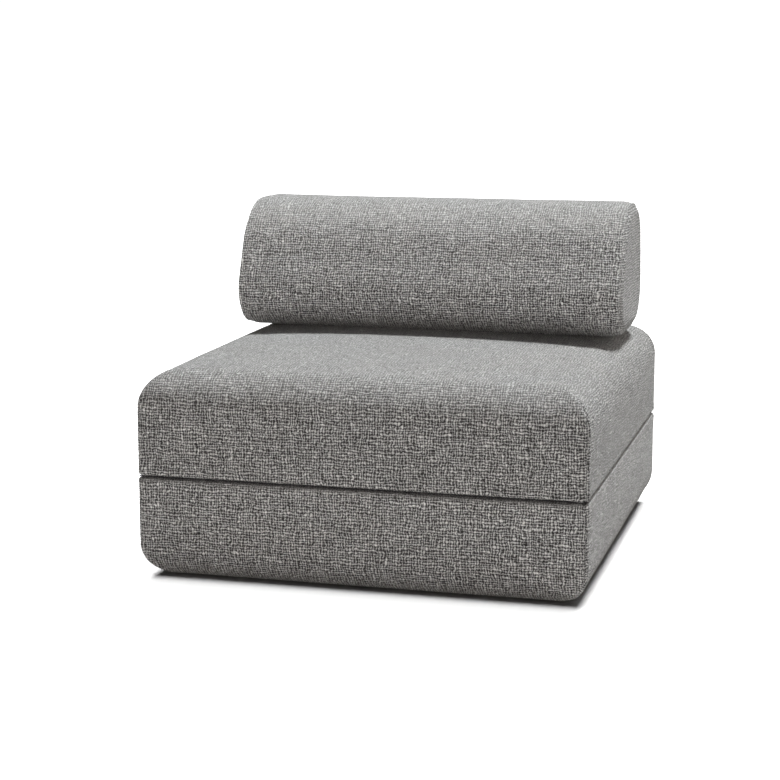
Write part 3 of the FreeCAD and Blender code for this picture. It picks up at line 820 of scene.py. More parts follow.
def metal_material(name):
    """Dark lacquered zinc, rubbed brighter on its edges and high spots."""
    m, nt, bsdf = new_material(name)
    k = Nodes(nt)
    tc = nt.nodes.new("ShaderNodeTexCoord")
    n = k.noise(tc.outputs["Object"], 260.0, 4.0, 0.6)
    fine = k.noise(tc.outputs["Object"], 2200.0, 2.0)
    geo = nt.nodes.new("ShaderNodeNewGeometry")
    worn = k.math("MULTIPLY", k.remap(geo.outputs["Pointiness"], 0.52, 0.60, 0.0, 1.0), k.remap(n, 0.35, 0.6, 0.0, 1.0))
    col = k.mix(worn, k.ramp(n, [(0.3, (0.055, 0.056, 0.060)), (0.7, (0.085, 0.086, 0.090))]), (0.42, 0.42, 0.43, 1))
    k.set(bsdf.inputs["Base Color"], col)
    bsdf.inputs["Metallic"].default_value = 0.85
    k.set(bsdf.inputs["Roughness"], k.remap(n, 0.3, 0.7, 0.30, 0.46))
    k.set(bsdf.inputs["Normal"], k.bump(fine, 0.15, 0.0001))
    return m


mat_tweed = tweed_material("tweed_seat", seed=0.0)
# painted light and shade: one cloth made lighter on the base, a little darker on the cushion and lighter on the
# cushion's ends, standing in for how the light falls on each piece
mat_tweed_base = tweed_material("tweed_base", seed=3.0, painted_light_gain=1.10)
mat_tweed_cushion = tweed_material("tweed_cushion", seed=7.0, painted_light_gain=0.965)
mat_tweed_end = tweed_material("tweed_cushion_end", seed=11.0, ends_lit_share=0.55, painted_light_gain=1.03)
# painted shade: the hinge band is the same cloth made much darker, for the shade in the parting groove
mat_band = tweed_material("tweed_hinge", seed=15.0, painted_light_gain=0.55)
mat_lining = fine_cloth("crease_lining", (0.030, 0.030, 0.032), (0.085, 0.083, 0.082), 0.0016)
mat_tape = fine_cloth("zip_tape_cloth", (0.045, 0.045, 0.048), (0.13, 0.13, 0.135), 0.0012)
mat_coil = fine_cloth("zip_coil_nylon", (0.030, 0.030, 0.032), (0.080, 0.080, 0.084), 0.0009, 0.15, 0.42)
mat_thread = fine_cloth("sewing_thread", (0.16, 0.16, 0.158), (0.34, 0.34, 0.33), 0.0006, 0.6, 0.6)
mat_foam = foam_material("support_foam", (0.55, 0.52, 0.38), (0.80, 0.77, 0.62))
mat_comfort = foam_material("comfort_foam", (0.70, 0.68, 0.60), (0.90, 0.88, 0.82), 1300.0)
mat_wadding = wadding_material("fibre_wadding")
mat_grip = grip_material("non_slip_cloth")
mat_loop = hook_material("loop_tape", False)
mat_hook = hook_material("hook_tape", True)
mat_metal = metal_material("zip_metal")


def give(name, mat, bevel=0.0):
    ob = frame["nodes"][name]
    ob.data.materials.clear()
    ob.data.materials.append(mat)
    if bevel:
        mod = ob.modifiers.new("edge", "BEVEL")
        mod.width = bevel
        mod.segments = 2
        mod.limit_method = "ANGLE"
        mod.angle_limit = math.radians(35)
    return ob


def bake_layer(ob):
    """A second uv map that lays the same pieces out inside the unit square."""
    me = ob.data
    uv = np.empty(len(me.loops) * 2, np.float32)
    me.uv_layers["cloth"].data.foreach_get("uv", uv)
    uv = uv.reshape(-1, 2)
    lo, hi = uv.min(0), uv.max(0)
    layer = me.uv_layers.new(name="OFBake")
    layer.data.foreach_set("uv", ((uv - lo) / (hi - lo).max() * 0.992 + 0.004).astype(np.float32).ravel())


def piece_from(name, arrays, mat, body, nodes):
    v, f, uv, nums = arrays
    ob = make_object(name, v, f, uv, [mat])
    bake_layer(ob)
    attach(ob, body)
    if nodes:
        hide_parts(*nodes)
    return ob


def lips(v, f, uv, nums, inside, way, depth):
    """Turned-in hems along the open edges whose points all lie inside: each edge gains a strip that goes depth along way."""
    e = np.concatenate([f[:, [k, (k + 1) % 4]] for k in range(4)])
    t = np.concatenate([uv[:, [k, (k + 1) % 4]] for k in range(4)])
    ok = e[:, 0] != e[:, 1]
    e, t = e[ok], t[ok]
    key = np.sort(e, axis=1)
    _, back, count = np.unique(key, axis=0, return_inverse=True, return_counts=True)
    edge = (count[back.reshape(-1)] == 1) & inside[e].all(1)
    e, t = e[edge], t[edge]
    used, local = np.unique(e, return_inverse=True)
    local = local.reshape(-1, 2)
    fresh = v[used] + np.asarray(way) * depth
    nf = np.stack([e[:, 1], e[:, 0], len(v) + local[:, 0], len(v) + local[:, 1]], -1)
    nuv = np.stack([t[:, 1], t[:, 0], t[:, 0] + 0.0004, t[:, 1] + 0.0004], 1)
    return np.vstack([v, fresh]), np.vstack([f, nf]), np.concatenate([uv, nuv]), {k: np.r_[a, a[used]] for k, a in nums.items()}


def capsules(centres, along, up, length, width, height, rings=4, around=6):
    """Little rounded rods, as one array of points and faces: stitches, coil teeth."""
    centres, along, up = (np.atleast_2d(np.asarray(a, float)) for a in (centres, along, up))
    n = len(centres)
    along = np.broadcast_to(along, (n, 3))
    up = np.broadcast_to(up, (n, 3))
    side = np.cross(along, up)
    th = np.linspace(-math.pi / 2, math.pi / 2, rings + 2)
    pts = []
    for t in th[1:-1]:
        for a in np.arange(around) * 2 * math.pi / around:
            pts.append((math.copysign(abs(math.sin(t)) ** 0.7, math.sin(t)), math.cos(t) ** 0.5 * math.cos(a), math.cos(t) ** 0.5 * math.sin(a)))
    pts.append((-1, 0, 0))
    pts.append((1, 0, 0))
    pts = np.array(pts) * (length / 2, width / 2, height / 2)
    v = centres[:, None] + pts[None, :, :1] * along[:, None] + pts[None, :, 1:2] * side[:, None] + pts[None, :, 2:] * up[:, None]
    faces = []
    for r in range(rings - 1):
        for a in range(around):
            b = (a + 1) % around
            faces.append((r * around + a, r * around + b, (r + 1) * around + b, (r + 1) * around + a))
    lo, hi = rings * around, rings * around + 1
    for a in range(around):
        b = (a + 1) % around
        faces.append((b, a, lo, lo))
        faces.append(((rings - 1) * around + a, (rings - 1) * around + b, hi, hi))
    faces = np.array(faces)
    f = (faces[None] + (np.arange(n) * len(pts))[:, None, None]).reshape(-1, 4)
    f[:, 3] = np.where(np.tile(faces[:, 2] == faces[:, 3], n), f[:, 2], f[:, 3])
    return v.reshape(-1, 3), f


def zip_parts(prefix, origin, normal, up, half):
    """The coil's teeth and the cord that the coil is sewn round. origin is the middle of the coil on the cover's
    surface.
    """
    o, n, u = (np.array(a, float) for a in (origin, normal, up))
    x = np.array([1.0, 0, 0])
    pitch = 0.0017
    count = int(2 * half / pitch)
    at = (np.arange(count) - (count - 1) / 2) * pitch
    cen, wid = [], []
    rows = []
    for sgn in (-1, 1):
        shift = pitch / 2 if sgn > 0 else 0.0
        c = o + (at + shift)[:, None] * x + sgn * 0.00085 * u - 0.0004 * n
        v, f = capsules(c, u, n, 0.0030, 0.00115, 0.0012)
        rows.append((v, f))
    # the cord that the coil is sewn round
    for sgn in (-1, 1):
        m = int(2 * half / 0.02)
        c = o + ((np.arange(m) - (m - 1) / 2) * 0.02)[:, None] * x + sgn * 0.0019 * u - 0.0005 * n
        rows.append(capsules(c, x, n, 0.0215, 0.0008, 0.0009))
    vs, fs, k = [], [], 0
    for v, f in rows:
        vs.append(v)
        fs.append(f + k)
        k += len(v)
    ob = make_object(prefix + "_zip_coil_teeth", np.vstack(vs), np.vstack(fs), None, [mat_coil])
    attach(ob, prefix)
    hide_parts(prefix + "_zip_coil")
    return ob


def stitch_rows(name, lines, body, normals, length=0.0034, gap=0.0012, thick=0.0007, sink=0.0001):
    """Runs of thread stitches along polylines (each (n, 3)) with the surface normal for each line's points."""
    vs, fs, k = [], [], 0
    for line, nor in zip(lines, normals):
        line, nor = np.asarray(line, float), np.asarray(nor, float)
        seg = np.r_[0, np.cumsum(np.linalg.norm(np.diff(line, axis=0), axis=1))]
        m = int(seg[-1] / (length + gap))
        if m < 1:
            continue
        s = (np.arange(m) + 0.5) * seg[-1] / m
        c = np.stack([np.interp(s, seg, line[:, j]) for j in range(3)], -1)
        a = np.stack([np.interp(s + 0.001, seg, line[:, j]) - np.interp(s - 0.001, seg, line[:, j]) for j in range(3)], -1)
        a /= np.linalg.norm(a, axis=1)[:, None]
        nn = np.stack([np.interp(s, seg, nor[:, j]) for j in range(3)], -1)
        nn -= a * (nn * a).sum(1)[:, None]
        nn /= np.linalg.norm(nn, axis=1)[:, None]
        v, f = capsules(c + nn * (thick * 0.25 - sink), a, nn, length, thick, thick, 3, 6)
        vs.append(v)
        fs.append(f + k)
        k += len(v)
    ob = make_object(name, np.vstack(vs), np.vstack(fs), None, [mat_thread])
    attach(ob, body)
    return ob


def on_surface(tree, points, ray, reach=0.05):
    """Each point cast along ray onto a surface: places and normals."""
    out, nor = [], []
    d = Vector(ray).normalized()
    for p in points:
        hit, n, _, _ = tree.ray_cast(Vector(p) - d * reach, d, 2 * reach)
        if hit is None:
            hit, n = Vector(p), -d
        if n.dot(d) > 0:
            n = -n
        out.append(hit[:])
        nor.append(n[:])
    return np.array(out), np.array(nor)


# ---------------------------------------------------------------- the two blocks
def to_world(v, f, uv, upper):
    v = v.copy()
    if upper:
        v[:, 2] = PLANE + GAP + v[:, 2]
        return v, f, uv
    v[:, 2] = PLANE - GAP - v[:, 2]
    return v, f[:, ::-1], uv[:, ::-1]


plain = block_shape()
trees = {}
for prefix, upper, mat in (("base", False, mat_tweed_base), ("seat", True, mat_tweed)):
    v, f, uv, part, nums = plain
    v = fill_block(v, f, nums, upper)
    v, f, uv, part, nums = subdivide(v, f, uv, part, nums)
    v = dress_block(v, f, nums, 11 if upper else 23, 0.0007 if upper else 0.0006, upper)
    if not upper:
        # the base's weight lies on its grip panel, which stands a little proud of the cover
        v[:, 2] = np.minimum(v[:, 2], TALL - 0.0009)
    wv, wf, wuv = to_world(v, f, uv, upper)
    trees[prefix] = BVHTree.FromPolygons([tuple(p) for p in wv], [tuple(q) for q in wf.tolist()])
    zz = PLANE + (0.052 if upper else -0.052)
    for pid, label, nodes, pm in (
        (0, "cover_cap", ["cover_cap"], mat),
        (1, "sleep_panel", ["sleep_panel"], mat),
        (2, "hinge_band", ["hinge_band"], mat_band),
    ):
        pv, pf, puv, pn, used = compact(wv, wf, wuv, nums, part == pid)
        if pid == 0:
            near = (pv[:, 1] > 0.46) & (np.abs(pv[:, 2] - zz) < 0.0075) & (np.abs(pv[:, 0]) < ZIP_HALF + 0.012)
            pv, pf, puv, pn = lips(pv, pf, puv, pn, near, (0, -1, 0), 0.0017)
        ob = piece_from(
            prefix + "_" + label + "_sewn", (pv, pf, puv, pn), pm, prefix,
            [prefix + "_" + n for n in nodes],
        )

    iv, if_, iuv, ipart, inums = block_shape(cell=0.03, shrink=0.0065)
    iv[:, 2] += 0.0065
    iv, if_, iuv = to_world(iv, if_, iuv, upper)
    ob = piece_from(prefix + "_wadding_wrap", (iv, if_, iuv, inums), mat_wadding, prefix, [prefix + "_wadding"])
    give(prefix + "_foam_core", mat_foam)
    give(prefix + "_comfort_foam", mat_comfort)
    zip_parts(prefix, (0, 0.4745, zz), (0, 1, 0), (0, 0, 1), 0.406)
    lines, nors = [], []
    xs_ = np.linspace(-0.412, 0.412, 90)
    for dz in (-0.0095, 0.0095):
        q, nn = on_surface(trees[prefix], [(x, 0.476, zz + dz) for x in xs_], (0, -1, 0))
        lines.append(q)
        nors.append(nn)
    for sx in (-1, 1):
        q, nn = on_surface(trees[prefix], [(sx * 0.412, 0.476, zz + t) for t in np.linspace(-0.0095, 0.0095, 5)], (0, -1, 0))
        lines.append(q)
        nors.append(nn)
    ob = stitch_rows(prefix + "_zip_stitching", lines, prefix, nors)

# hinge crease: one strip of lining sewn to both bands, folded in the parting groove
xs_ = np.linspace(-0.449, 0.449, 61)
sec = [(-0.4640, 0.20945), (-0.4675, 0.20955), (-0.4702, 0.20968), (-0.4718, 0.20984), (-0.4723, 0.2100), (-0.4718, 0.21016), (-0.4702, 0.21032), (-0.4675, 0.21045), (-0.4640, 0.21055)]
grid = np.array([[(x, y, z) for y, z in sec] for x in xs_])
guv = np.array([[(x, (y + 0.4745) * (1 if z > 0.21 else -1)) for y, z in sec] for x in xs_])
pw = Patchwork()
pw.patch(grid, guv, 0, flip=True, corner=np.ones(grid.shape[:2]))
hv, hf, huv, _, _ = pw.done()
crease = make_object("hinge_crease", hv, hf, huv, [mat_lining])
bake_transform(crease)


# ---------------------------------------------------------------- the back cushion
LOW = 0.4336  # where its underside lies on the crowned seat
CIRCLES = [  # centre y, centre z, radius: front low, rear low, rear top, front top
    (0.1341, LOW + 0.0820, 0.0820),
    (0.2765, LOW + 0.0931, 0.0931),
    (0.2740, 0.7138 - 0.0817, 0.0817),
    (0.2220, 0.7138 - 0.1407, 0.1407),
]
C_END, C_ROUND = 0.4313, 0.031
SEAM_AT = math.radians(37)
Z_NOR = np.array([0.9931137, 0.1171543])  # the cushion zip's outward way, in (y, z)
Z_MID = np.array([0.3673187, 0.5384107])


def belt(step):
    """The section's outline as points (y, z), outward normals and arc lengths, from the middle of the underside round by
    the rear. Two of the places are the edges of the zip's opening. Also half the flat underside's width."""
    n = len(CIRCLES)
    nor = []
    for i in range(n):
        (a, b, ra), (c, d, rb) = CIRCLES[i], CIRCLES[(i + 1) % n]
        dx, dy = c - a, d - b
        L = math.hypot(dx, dy)
        al = (ra - rb) / L
        off = math.sqrt(1 - al * al)
        tx, ty = dx / L, dy / L
        nor.append((tx * al + ty * off, ty * al - tx * off))
    dense, normal = [], []
    for i in range(n):
        y, z, r = CIRCLES[i]
        a0 = math.atan2(nor[i - 1][1], nor[i - 1][0])
        a1 = math.atan2(nor[i][1], nor[i][0])
        while a1 <= a0:
            a1 += 2 * math.pi
        for t in np.linspace(a0, a1, 90):
            dense.append((y + r * math.cos(t), z + r * math.sin(t)))
            normal.append((math.cos(t), math.sin(t)))
    closed = np.vstack([dense, dense[:1]])
    cn = np.vstack([normal, normal[:1]])
    s = np.r_[0, np.cumsum(np.hypot(*np.diff(closed, axis=0).T))]
    total = s[-1]
    mid = (s[89] + s[90]) / 2
    under = (s[90] - s[89]) / 2
    zip_i = int(np.argmin(np.hypot(closed[:, 0] - Z_MID[0], closed[:, 1] - Z_MID[1])))
    # the nearest place to the zip, along the straight between two dense points
    fine = np.linspace(0, total, 20001)
    fy, fz = np.interp(fine, s, closed[:, 0]), np.interp(fine, s, closed[:, 1])
    zip_s = fine[int(np.argmin(np.hypot(fy - Z_MID[0], fz - Z_MID[1])))]
    off_by = float(np.hypot(fy - Z_MID[0], fz - Z_MID[1]).min())
    a, b = (zip_s - 0.0055 - mid) % total, (zip_s + 0.0055 - mid) % total
    want = np.concatenate([
        np.linspace(0, a, max(2, int(round(a / step)) + 1)),
        np.linspace(b, total, max(2, int(round((total - b) / step)) + 1)),
    ])
    at = (mid + want) % total
    y, z = np.interp(at, s, closed[:, 0]), np.interp(at, s, closed[:, 1])
    ny, nz = np.interp(at, s, cn[:, 0]), np.interp(at, s, cn[:, 1])
    L = np.hypot(ny, nz)
    return np.stack([y, z], -1), np.stack([ny / L, nz / L], -1), want, under, (a, b), off_by


def cushion_shape(step=0.011, cell=0.014, shrink=0.0):
    """Parts: 0 wrap, 1 left end, 2 right end, 3 underside, 4 the zip's opening. Numbers: seam = distance to an end seam,
    end = 1 on the ends, way = arc length round the section."""
    base, nor, arc, under, hole, _ = belt(step)
    total, rows = arc[-1], len(arc)
    w = Patchwork()
    arc_seam = C_ROUND * SEAM_AT
    flat_x = C_END - C_ROUND
    tail = np.array([80, 62, 46, 32, 21, 13, 7.5, 4, 1.6, 0]) / 1000
    mid_half = flat_x + arc_seam - 0.096
    n = int(round(2 * mid_half / cell))
    edge = flat_x + arc_seam - tail
    snap = 0.378  # the ends of the zip's opening
    along = np.sort(np.concatenate([np.linspace(-mid_half, mid_half, n + 1), edge, -edge]))
    for sgn in (-1, 1):
        along[int(np.argmin(np.abs(along - sgn * snap)))] = sgn * snap
    over = np.maximum(np.abs(along) - flat_x, 0.0)
    th = over / C_ROUND
    xs = np.sign(along) * (np.minimum(np.abs(along), flat_x) + (C_ROUND - shrink) * np.sin(th))
    ins = C_ROUND - (C_ROUND - shrink) * np.cos(th)
    pts = np.zeros((rows, len(along), 3))
    pts[..., 0] = xs[None]
    pts[..., 1] = base[:, :1] - nor[:, :1] * ins[None]
    pts[..., 2] = base[:, 1:] - nor[:, 1:] * ins[None]
    uv = np.stack(np.broadcast_arrays(along[None, :], arc[:, None]), -1).copy()
    part = np.zeros((rows - 1, len(along) - 1), int)
    mid_arc = (arc[:-1] + arc[1:]) / 2
    part[(mid_arc < under) | (mid_arc > total - under)] = 3
    in_hole = (mid_arc > hole[0]) & (mid_arc < hole[1])
    mid_x = (along[:-1] + along[1:]) / 2
    part[np.ix_(in_hole, np.abs(mid_x) < snap)] = 4
    dist = (flat_x + arc_seam) - np.abs(along)
    full = pts.shape[:2]
    w.patch(pts, uv, part, flip=False, seam=np.broadcast_to(dist[None], full), end=np.zeros(full), way=np.broadcast_to(arc[:, None], full))
    centre = np.array([0.212, 0.566])
    steps = []
    for t in np.linspace(SEAM_AT, math.pi / 2, 8):
        steps.append((flat_x + (C_ROUND - shrink) * math.sin(t), C_ROUND - (C_ROUND - shrink) * math.cos(t), 1.0, C_ROUND * (t - SEAM_AT)))
    x_end, in_end, _, run = steps[-1]
    far = np.hypot(*(base - nor * in_end - centre).T).mean()
    for sc in (0.93, 0.85, 0.76, 0.66, 0.55, 0.43, 0.30, 0.16):
        steps.append((x_end, in_end, sc, run + far * (1 - sc)))
    for side, pid in ((-1, 1), (1, 2)):
        pts = np.zeros((rows, len(steps) + 1, 3))
        uv = np.zeros((rows, len(steps) + 1, 2))
        for j, (x, inset, sc, dist) in enumerate(steps):
            ring = centre + (base - nor * inset - centre) * sc
            pts[:, j, 0] = side * x
            pts[:, j, 1:] = ring
            spread = ring + nor * (run - dist) * 0 if sc < 1.0 else base - nor * in_end + nor * (run - dist)
            uv[:, j, 0] = spread[:, 0] * side + 3.0 + pid * 1.5
            uv[:, j, 1] = spread[:, 1]
        pts[:, -1] = [side * x_end, *centre]
        uv[:, -1] = [centre[0] * side + 3.0 + pid * 1.5, centre[1]]
        d = np.r_[[q[3] for q in steps], run + far]
        full = pts.shape[:2]
        w.patch(pts, uv, pid, flip=side < 0, seam=np.broadcast_to(d[None], full), end=np.ones(full), way=np.broadcast_to(arc[:, None], full))
    return w.done()


def zip_near(v, reach):
    """1 at the cushion zip's line, falling off over reach."""
    d = v[:, 1:] - Z_MID
    up = d @ np.array([-Z_NOR[1], Z_NOR[0]])
    out = d @ Z_NOR
    return np.where(np.abs(out) < 0.03, np.exp(-((up / reach) ** 2)), 0.0)


def fill_cushion(v, f, nums):
    n = vertex_normals(v, f)
    x, y, z = v.T
    seam, end = nums["seam"], nums["end"]
    hold = zip_near(v, 0.022)
    r = np.clip(seam / 0.12, 0, 1)
    want = end * 0.0042 * (1 - (1 - r) ** 2)
    want = want + (1 - end) * (0.0012 + 0.0026 * np.clip(n[:, 2], 0, 1)) * (1 - np.clip(np.abs(x) / C_END, 0, 1) ** 5) * (1 - hold)
    pin = np.exp(-((seam / 0.003) ** 2))
    pin = np.maximum(pin, hold)
    pin[z < LOW + 0.0005] = 1.0
    move = swell(v, f, pin)
    print("swell cushion", np.abs(move).max(), np.abs(move[end > 0.99]).max())
    move = held(move, n, want, [end, 1 - end])
    move[z < LOW + 0.0005] = 0.0
    print("held", np.linalg.norm(move, axis=1).max())
    return v + move


def belly(x, y):
    """How far the underside sinks to lie on the crowned seat."""
    gap = LOW - (0.420 + crown_at(x, y)) - 0.0022
    w = np.clip((y - 0.1341) / 0.035, 0, 1) * np.clip((0.2765 - y) / 0.035, 0, 1)
    w = w * w * (3 - 2 * w) * np.clip((0.402 - np.abs(x)) / 0.05, 0, 1)
    return np.maximum(gap, 0) * w


def dress_cushion(v, f, nums, seed=41):
    n = vertex_normals(v, f)
    x, y, z = v.T
    seam = nums["seam"]
    groove = 0.0020 * np.exp(-((seam / 0.0028) ** 2))
    roll = 0.0010 * np.exp(-(((seam - 0.010) / 0.007) ** 2))
    pucker = 0.00035 * np.exp(-seam / 0.012) * np.sin(nums["way"] * 2 * math.pi / 0.018 + 3 * value_noise(v * 28, seed + 3))
    wave = 0.0009 * value_noise(v * np.array([6.0, 8.0, 8.0]), seed, 3) * np.clip(seam / 0.03, 0, 1)
    low = np.clip((z - LOW) / 0.01, 0, 1)
    hold = 1 - zip_near(v, 0.022)
    v = v + n * ((wave * low * hold) + pucker + roll - groove)[:, None]
    v[:, 2] = np.where(z < LOW + 0.0012, np.minimum(v[:, 2], LOW + 0.0004), v[:, 2])
    v[:, 2] -= np.where(z < LOW + 0.0012, belly(v[:, 0], v[:, 1]), 0)
    return v


cs = cushion_shape()
v, f, uv, part, nums = cs
v = fill_cushion(v, f, nums)
v, f, uv, part, nums = subdivide(v, f, uv, part, nums)
v = dress_cushion(v, f, nums)
trees["backrest"] = BVHTree.FromPolygons([tuple(p) for p in v], [tuple(q) for q in f.tolist()])
for pid, label, node, mat in (
    (0, "cover_wrap", "backrest_cover_wrap", mat_tweed_cushion),
    (1, "end_left", "backrest_end_left", mat_tweed_end),
    (2, "end_right", "backrest_end_right", mat_tweed_end),
    (3, "bottom_panel", "backrest_bottom_panel", mat_tweed_cushion),
):
    pv, pf, puv, pn, used = compact(v, f, uv, nums, part == pid)
    if pid == 0:
        pv, pf, puv, pn = lips(pv, pf, puv, pn, (zip_near(pv, 0.0100) > 0.5) & (np.abs(pv[:, 0]) < 0.39), (0, -Z_NOR[0], -Z_NOR[1]), 0.0017)
    ob = piece_from("backrest_" + label + "_sewn", (pv, pf, puv, pn), mat, "backrest", [node])
iv, if_, iuv, ipart, inn = cushion_shape(0.02, 0.03, 0.0065)
ob = piece_from("backrest_wadding_wrap", (iv, if_, iuv, inn), mat_wadding, "backrest", ["backrest_wadding"])
iv, if_, iuv, ipart, inn = cushion_shape(0.02, 0.03, 0.0105)
ob = piece_from("backrest_foam_shape", (iv, if_, iuv, inn), mat_foam, "backrest", ["backrest_foam_core"])
zip_parts("backrest", (0, *(Z_MID)), (0, *Z_NOR), (0, -Z_NOR[1], Z_NOR[0]), 0.376)
lines, nors = [], []
upz = np.array([-Z_NOR[1], Z_NOR[0]])
for d in (-0.0095, 0.0095):
    q, nn = on_surface(trees["backrest"], [(x, *(Z_MID + upz * d)) for x in np.linspace(-0.382, 0.382, 84)], (0, -Z_NOR[0], -Z_NOR[1]))
    lines.append(q)
    nors.append(nn)
for sx in (-1, 1):
    q, nn = on_surface(trees["backrest"], [(sx * 0.382, *(Z_MID + upz * t)) for t in np.linspace(-0.0095, 0.0095, 5)], (0, -Z_NOR[0], -Z_NOR[1]))
    lines.append(q)
    nors.append(nn)
stitch_rows("backrest_zip_stitching", lines, "backrest", nors)


def strip(name, x0, x1, y0, y1, low, high, mat, body, node):
    """A strip of tape between two heights that follow the seat's crown or the cushion's belly."""
    m, k = 37, 11
    X = np.linspace(x0, x1, m)
    Y = np.linspace(y0, y1, k)
    gx, gy = np.meshgrid(X, Y, indexing="ij")
    lo, hi = low(gx, gy), high(gx, gy)
    uv = np.stack([gx, gy], -1)
    w = Patchwork()
    w.patch(np.stack([gx, gy, hi], -1), uv, 0, one=1.0)
    w.patch(np.stack([gx, gy, lo], -1), uv + 1, 0, flip=True, one=1.0)
    for sl, fl in (((slice(None), 0), True), ((slice(None), -1), False), ((0, slice(None)), False), ((-1, slice(None)), True)):
        a, b = np.stack([gx[sl], gy[sl], lo[sl]], -1), np.stack([gx[sl], gy[sl], hi[sl]], -1)
        w.patch(np.stack([a, b], 1), np.stack([uv[sl], uv[sl] + 0.002], 1), 0, flip=not fl, one=1.0)
    v, f, uvs, _, _ = w.done()
    ob = make_object(name, v, f, uvs, [mat])
    mod = ob.modifiers.new("edge", "BEVEL")
    mod.width, mod.segments, mod.limit_method = 0.0004, 2, "ANGLE"
    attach(ob, body)
    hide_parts(node)
    return ob


for side, sx in (("left", -1), ("right", 1)):
    x0, x1 = sorted((sx * 0.340, sx * 0.160))
    top = lambda x, y: 0.420 + crown_at(x, y)
    under_side = lambda x, y: LOW + 0.0004 - belly(x, y)
    strip("seat_loop_tape_" + side, x0, x1, 0.180, 0.230, lambda x, y: top(x, y) - 0.0012, lambda x, y: top(x, y) + 0.0008, mat_loop, "seat", "seat_loop_" + side)
    strip("backrest_hook_tape_" + side, x0, x1, 0.180, 0.230, lambda x, y: under_side(x, y) - 0.0006, lambda x, y: under_side(x, y) + 0.0012, mat_hook, "backrest", "backrest_hook_" + side)

for p in ("base", "seat", "backrest"):
    give(p + "_zip_tape", mat_tape)
    give(p + "_zip_slider", mat_metal, 0.0005)
    give(p + "_zip_pull", mat_metal, 0.0003)
give("base_grip_panel", mat_grip, 0.0006)


# ---------------------------------------------------------------- floor, backdrop and light
def plane(name, z, size, colour, strength=0.0):
    m, nt, bsdf = new_material(name)
    bsdf.inputs["Base Color"].default_value = (*colour, 1)
    bsdf.inputs["Roughness"].default_value = 1.0
    bsdf.inputs["Specular IOR Level"].default_value = 0.0
    if strength:
        bsdf.inputs["Emission Color"].default_value = (1, 1, 1, 1)
        bsdf.inputs["Emission Strength"].default_value = strength
    h = size / 2
    ob = make_object(name, [(-h, -h, z), (h, -h, z), (h, h, z), (-h, h, z)], [(0, 1, 2, 3)], None, [m], smooth=False)
    return ob


floor = plane("floor", 0.0, 60.0, (1.0, 1.0, 1.0))
floor.visible_diffuse = False
floor.visible_glossy = False
floor.visible_shadow = False
fm = floor.active_material.node_tree
fm.nodes.clear()
out = fm.nodes.new("ShaderNodeOutputMaterial")
dif = fm.nodes.new("ShaderNodeBsdfDiffuse")
dif.inputs["Color"].default_value = (0.5, 0.5, 0.5, 1)
fm.links.new(dif.outputs[0], out.inputs["Surface"])

# light linking: which lights fall on the floor that the camera sees
lit_floor = bpy.data.collections.new("lit_floor")
lit_object = bpy.data.collections.new("lit_object")
for coll, state in ((lit_floor, "INCLUDE"), (lit_object, "EXCLUDE")):
    coll.objects.link(floor)
    coll.collection_objects[0].light_linking.link_state = state
lit_cushion = bpy.data.collections.new("lit_cushion")
for ob in [o for o in scene.objects if o.type == "MESH" and o.name.startswith("backrest_")]:
    lit_cushion.objects.link(ob)

bounce = plane("floor_bounce", -0.002, 60.0, (0.50, 0.49, 0.48))
bounce.visible_camera = False
bounce.visible_glossy = False

world = bpy.data.worlds.new("studio")
scene.world = world
world.use_nodes = True
wt = world.node_tree
wt.nodes.clear()
wout = wt.nodes.new("ShaderNodeOutputWorld")
wbg = wt.nodes.new("ShaderNodeBackground")
wbg.inputs["Color"].default_value = (0.985, 0.995, 1.0, 1)
wbg.inputs["Strength"].default_value = 0.07
wt.links.new(wbg.outputs[0], wout.inputs["Surface"])


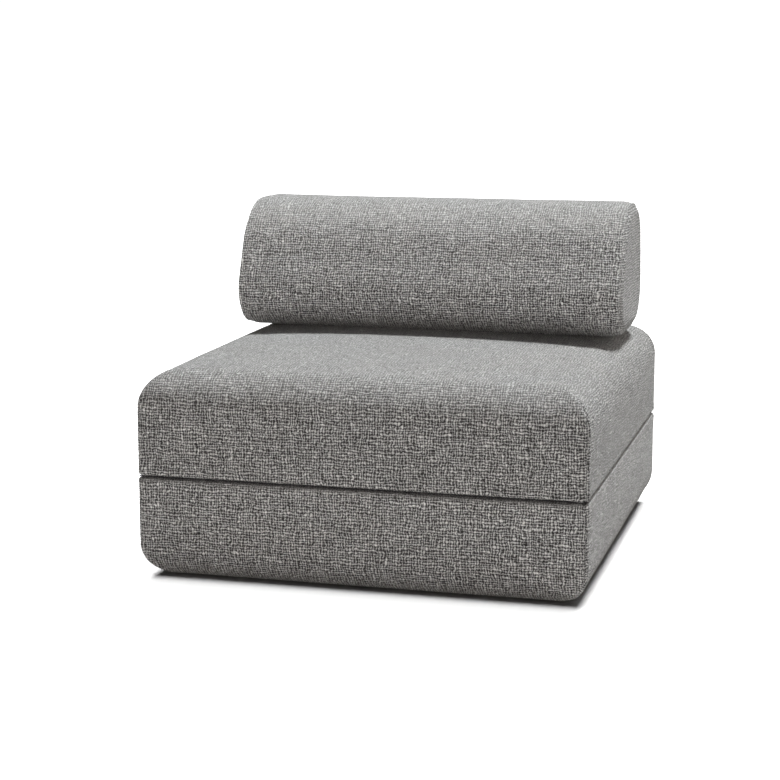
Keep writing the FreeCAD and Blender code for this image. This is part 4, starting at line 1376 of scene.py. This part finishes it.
def sun(name, elevation, azimuth, wide, power, colour=(1, 1, 1), receivers=None):
    """A broad soft light from far away. Azimuth 0 is the row's +X side, 90 is behind the object."""
    e, a = math.radians(elevation), math.radians(azimuth)
    d = Vector((math.cos(e) * math.cos(a), math.cos(e) * math.sin(a), math.sin(e)))
    ld = bpy.data.lights.new(name, "SUN")
    ld.angle = math.radians(wide)
    ld.energy = power
    ld.color = colour
    ob = bpy.data.objects.new(name, ld)
    ob.rotation_mode = "QUATERNION"
    ob.rotation_quaternion = (-d).to_track_quat("-Z", "Y")
    ob.location = d * 6
    ob.light_linking.receiver_collection = receivers or lit_object
    scene.collection.objects.link(ob)


sun("key", 70, 58, 11, 5.25, (0.975, 1.0, 1.005))
sun("side", 14, 34, 40, 1.05, (1.0, 0.92, 0.86))
sun("front", 3.5, 258, 36, 2.05, (1.0, 0.93, 0.89))
sun("reflector", 52, 262, 40, 1.15, (0.97, 1.0, 0.99), lit_cushion)
# the floor has its own lights, as a product table lit from both its sides does: tilt to the side, tilt to the front, share
for i, (front, share) in enumerate(((28, 0.13), (17, 0.13), (6, 0.14), (-5, 0.14), (-38, 0.50))):
    for j, right in enumerate((14, -16)):
        d = Vector((math.tan(math.radians(right)), -math.tan(math.radians(front)), 1.0)).normalized()
        sun("floor_%d_%d" % (i, j), math.degrees(math.asin(d.z)), math.degrees(math.atan2(d.y, d.x)), 17, share * 6.5 / d.z, receivers=lit_floor)

# a white backdrop beyond the floor, seen only by the camera
bm, bnt, bb = new_material("backdrop")
bnt.nodes.remove(bb)
emit = bnt.nodes.new("ShaderNodeEmission")
emit.inputs["Color"].default_value = (1, 1, 1, 1)
emit.inputs["Strength"].default_value = 1.05
bnt.links.new(emit.outputs[0], [n for n in bnt.nodes if n.type == "OUTPUT_MATERIAL"][0].inputs["Surface"])
R = 28.0
ring = np.linspace(0, 2 * math.pi, 49)[:-1]
bv = [(R * math.cos(t), R * math.sin(t), z) for z in (-0.01, 14.0) for t in ring]
backdrop = make_object("backdrop", bv, [(k, (k + 1) % 48, 48 + (k + 1) % 48, 48 + k) for k in range(48)], None, [bm])
backdrop.visible_diffuse = backdrop.visible_glossy = backdrop.visible_shadow = False

scene.view_settings.view_transform = "Standard"
scene.view_settings.look = "None"
scene.view_settings.exposure = 0.0
scene.view_settings.gamma = 1.0

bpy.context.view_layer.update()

# The base's and the seat's cover caps and wadding wraps each get a mesh of their own.
for ob in [o for o in bpy.context.scene.objects if o.name in (
        "base_cover_cap_sewn", "base_wadding_wrap", "seat_cover_cap_sewn", "seat_wadding_wrap")]:
    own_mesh(ob)
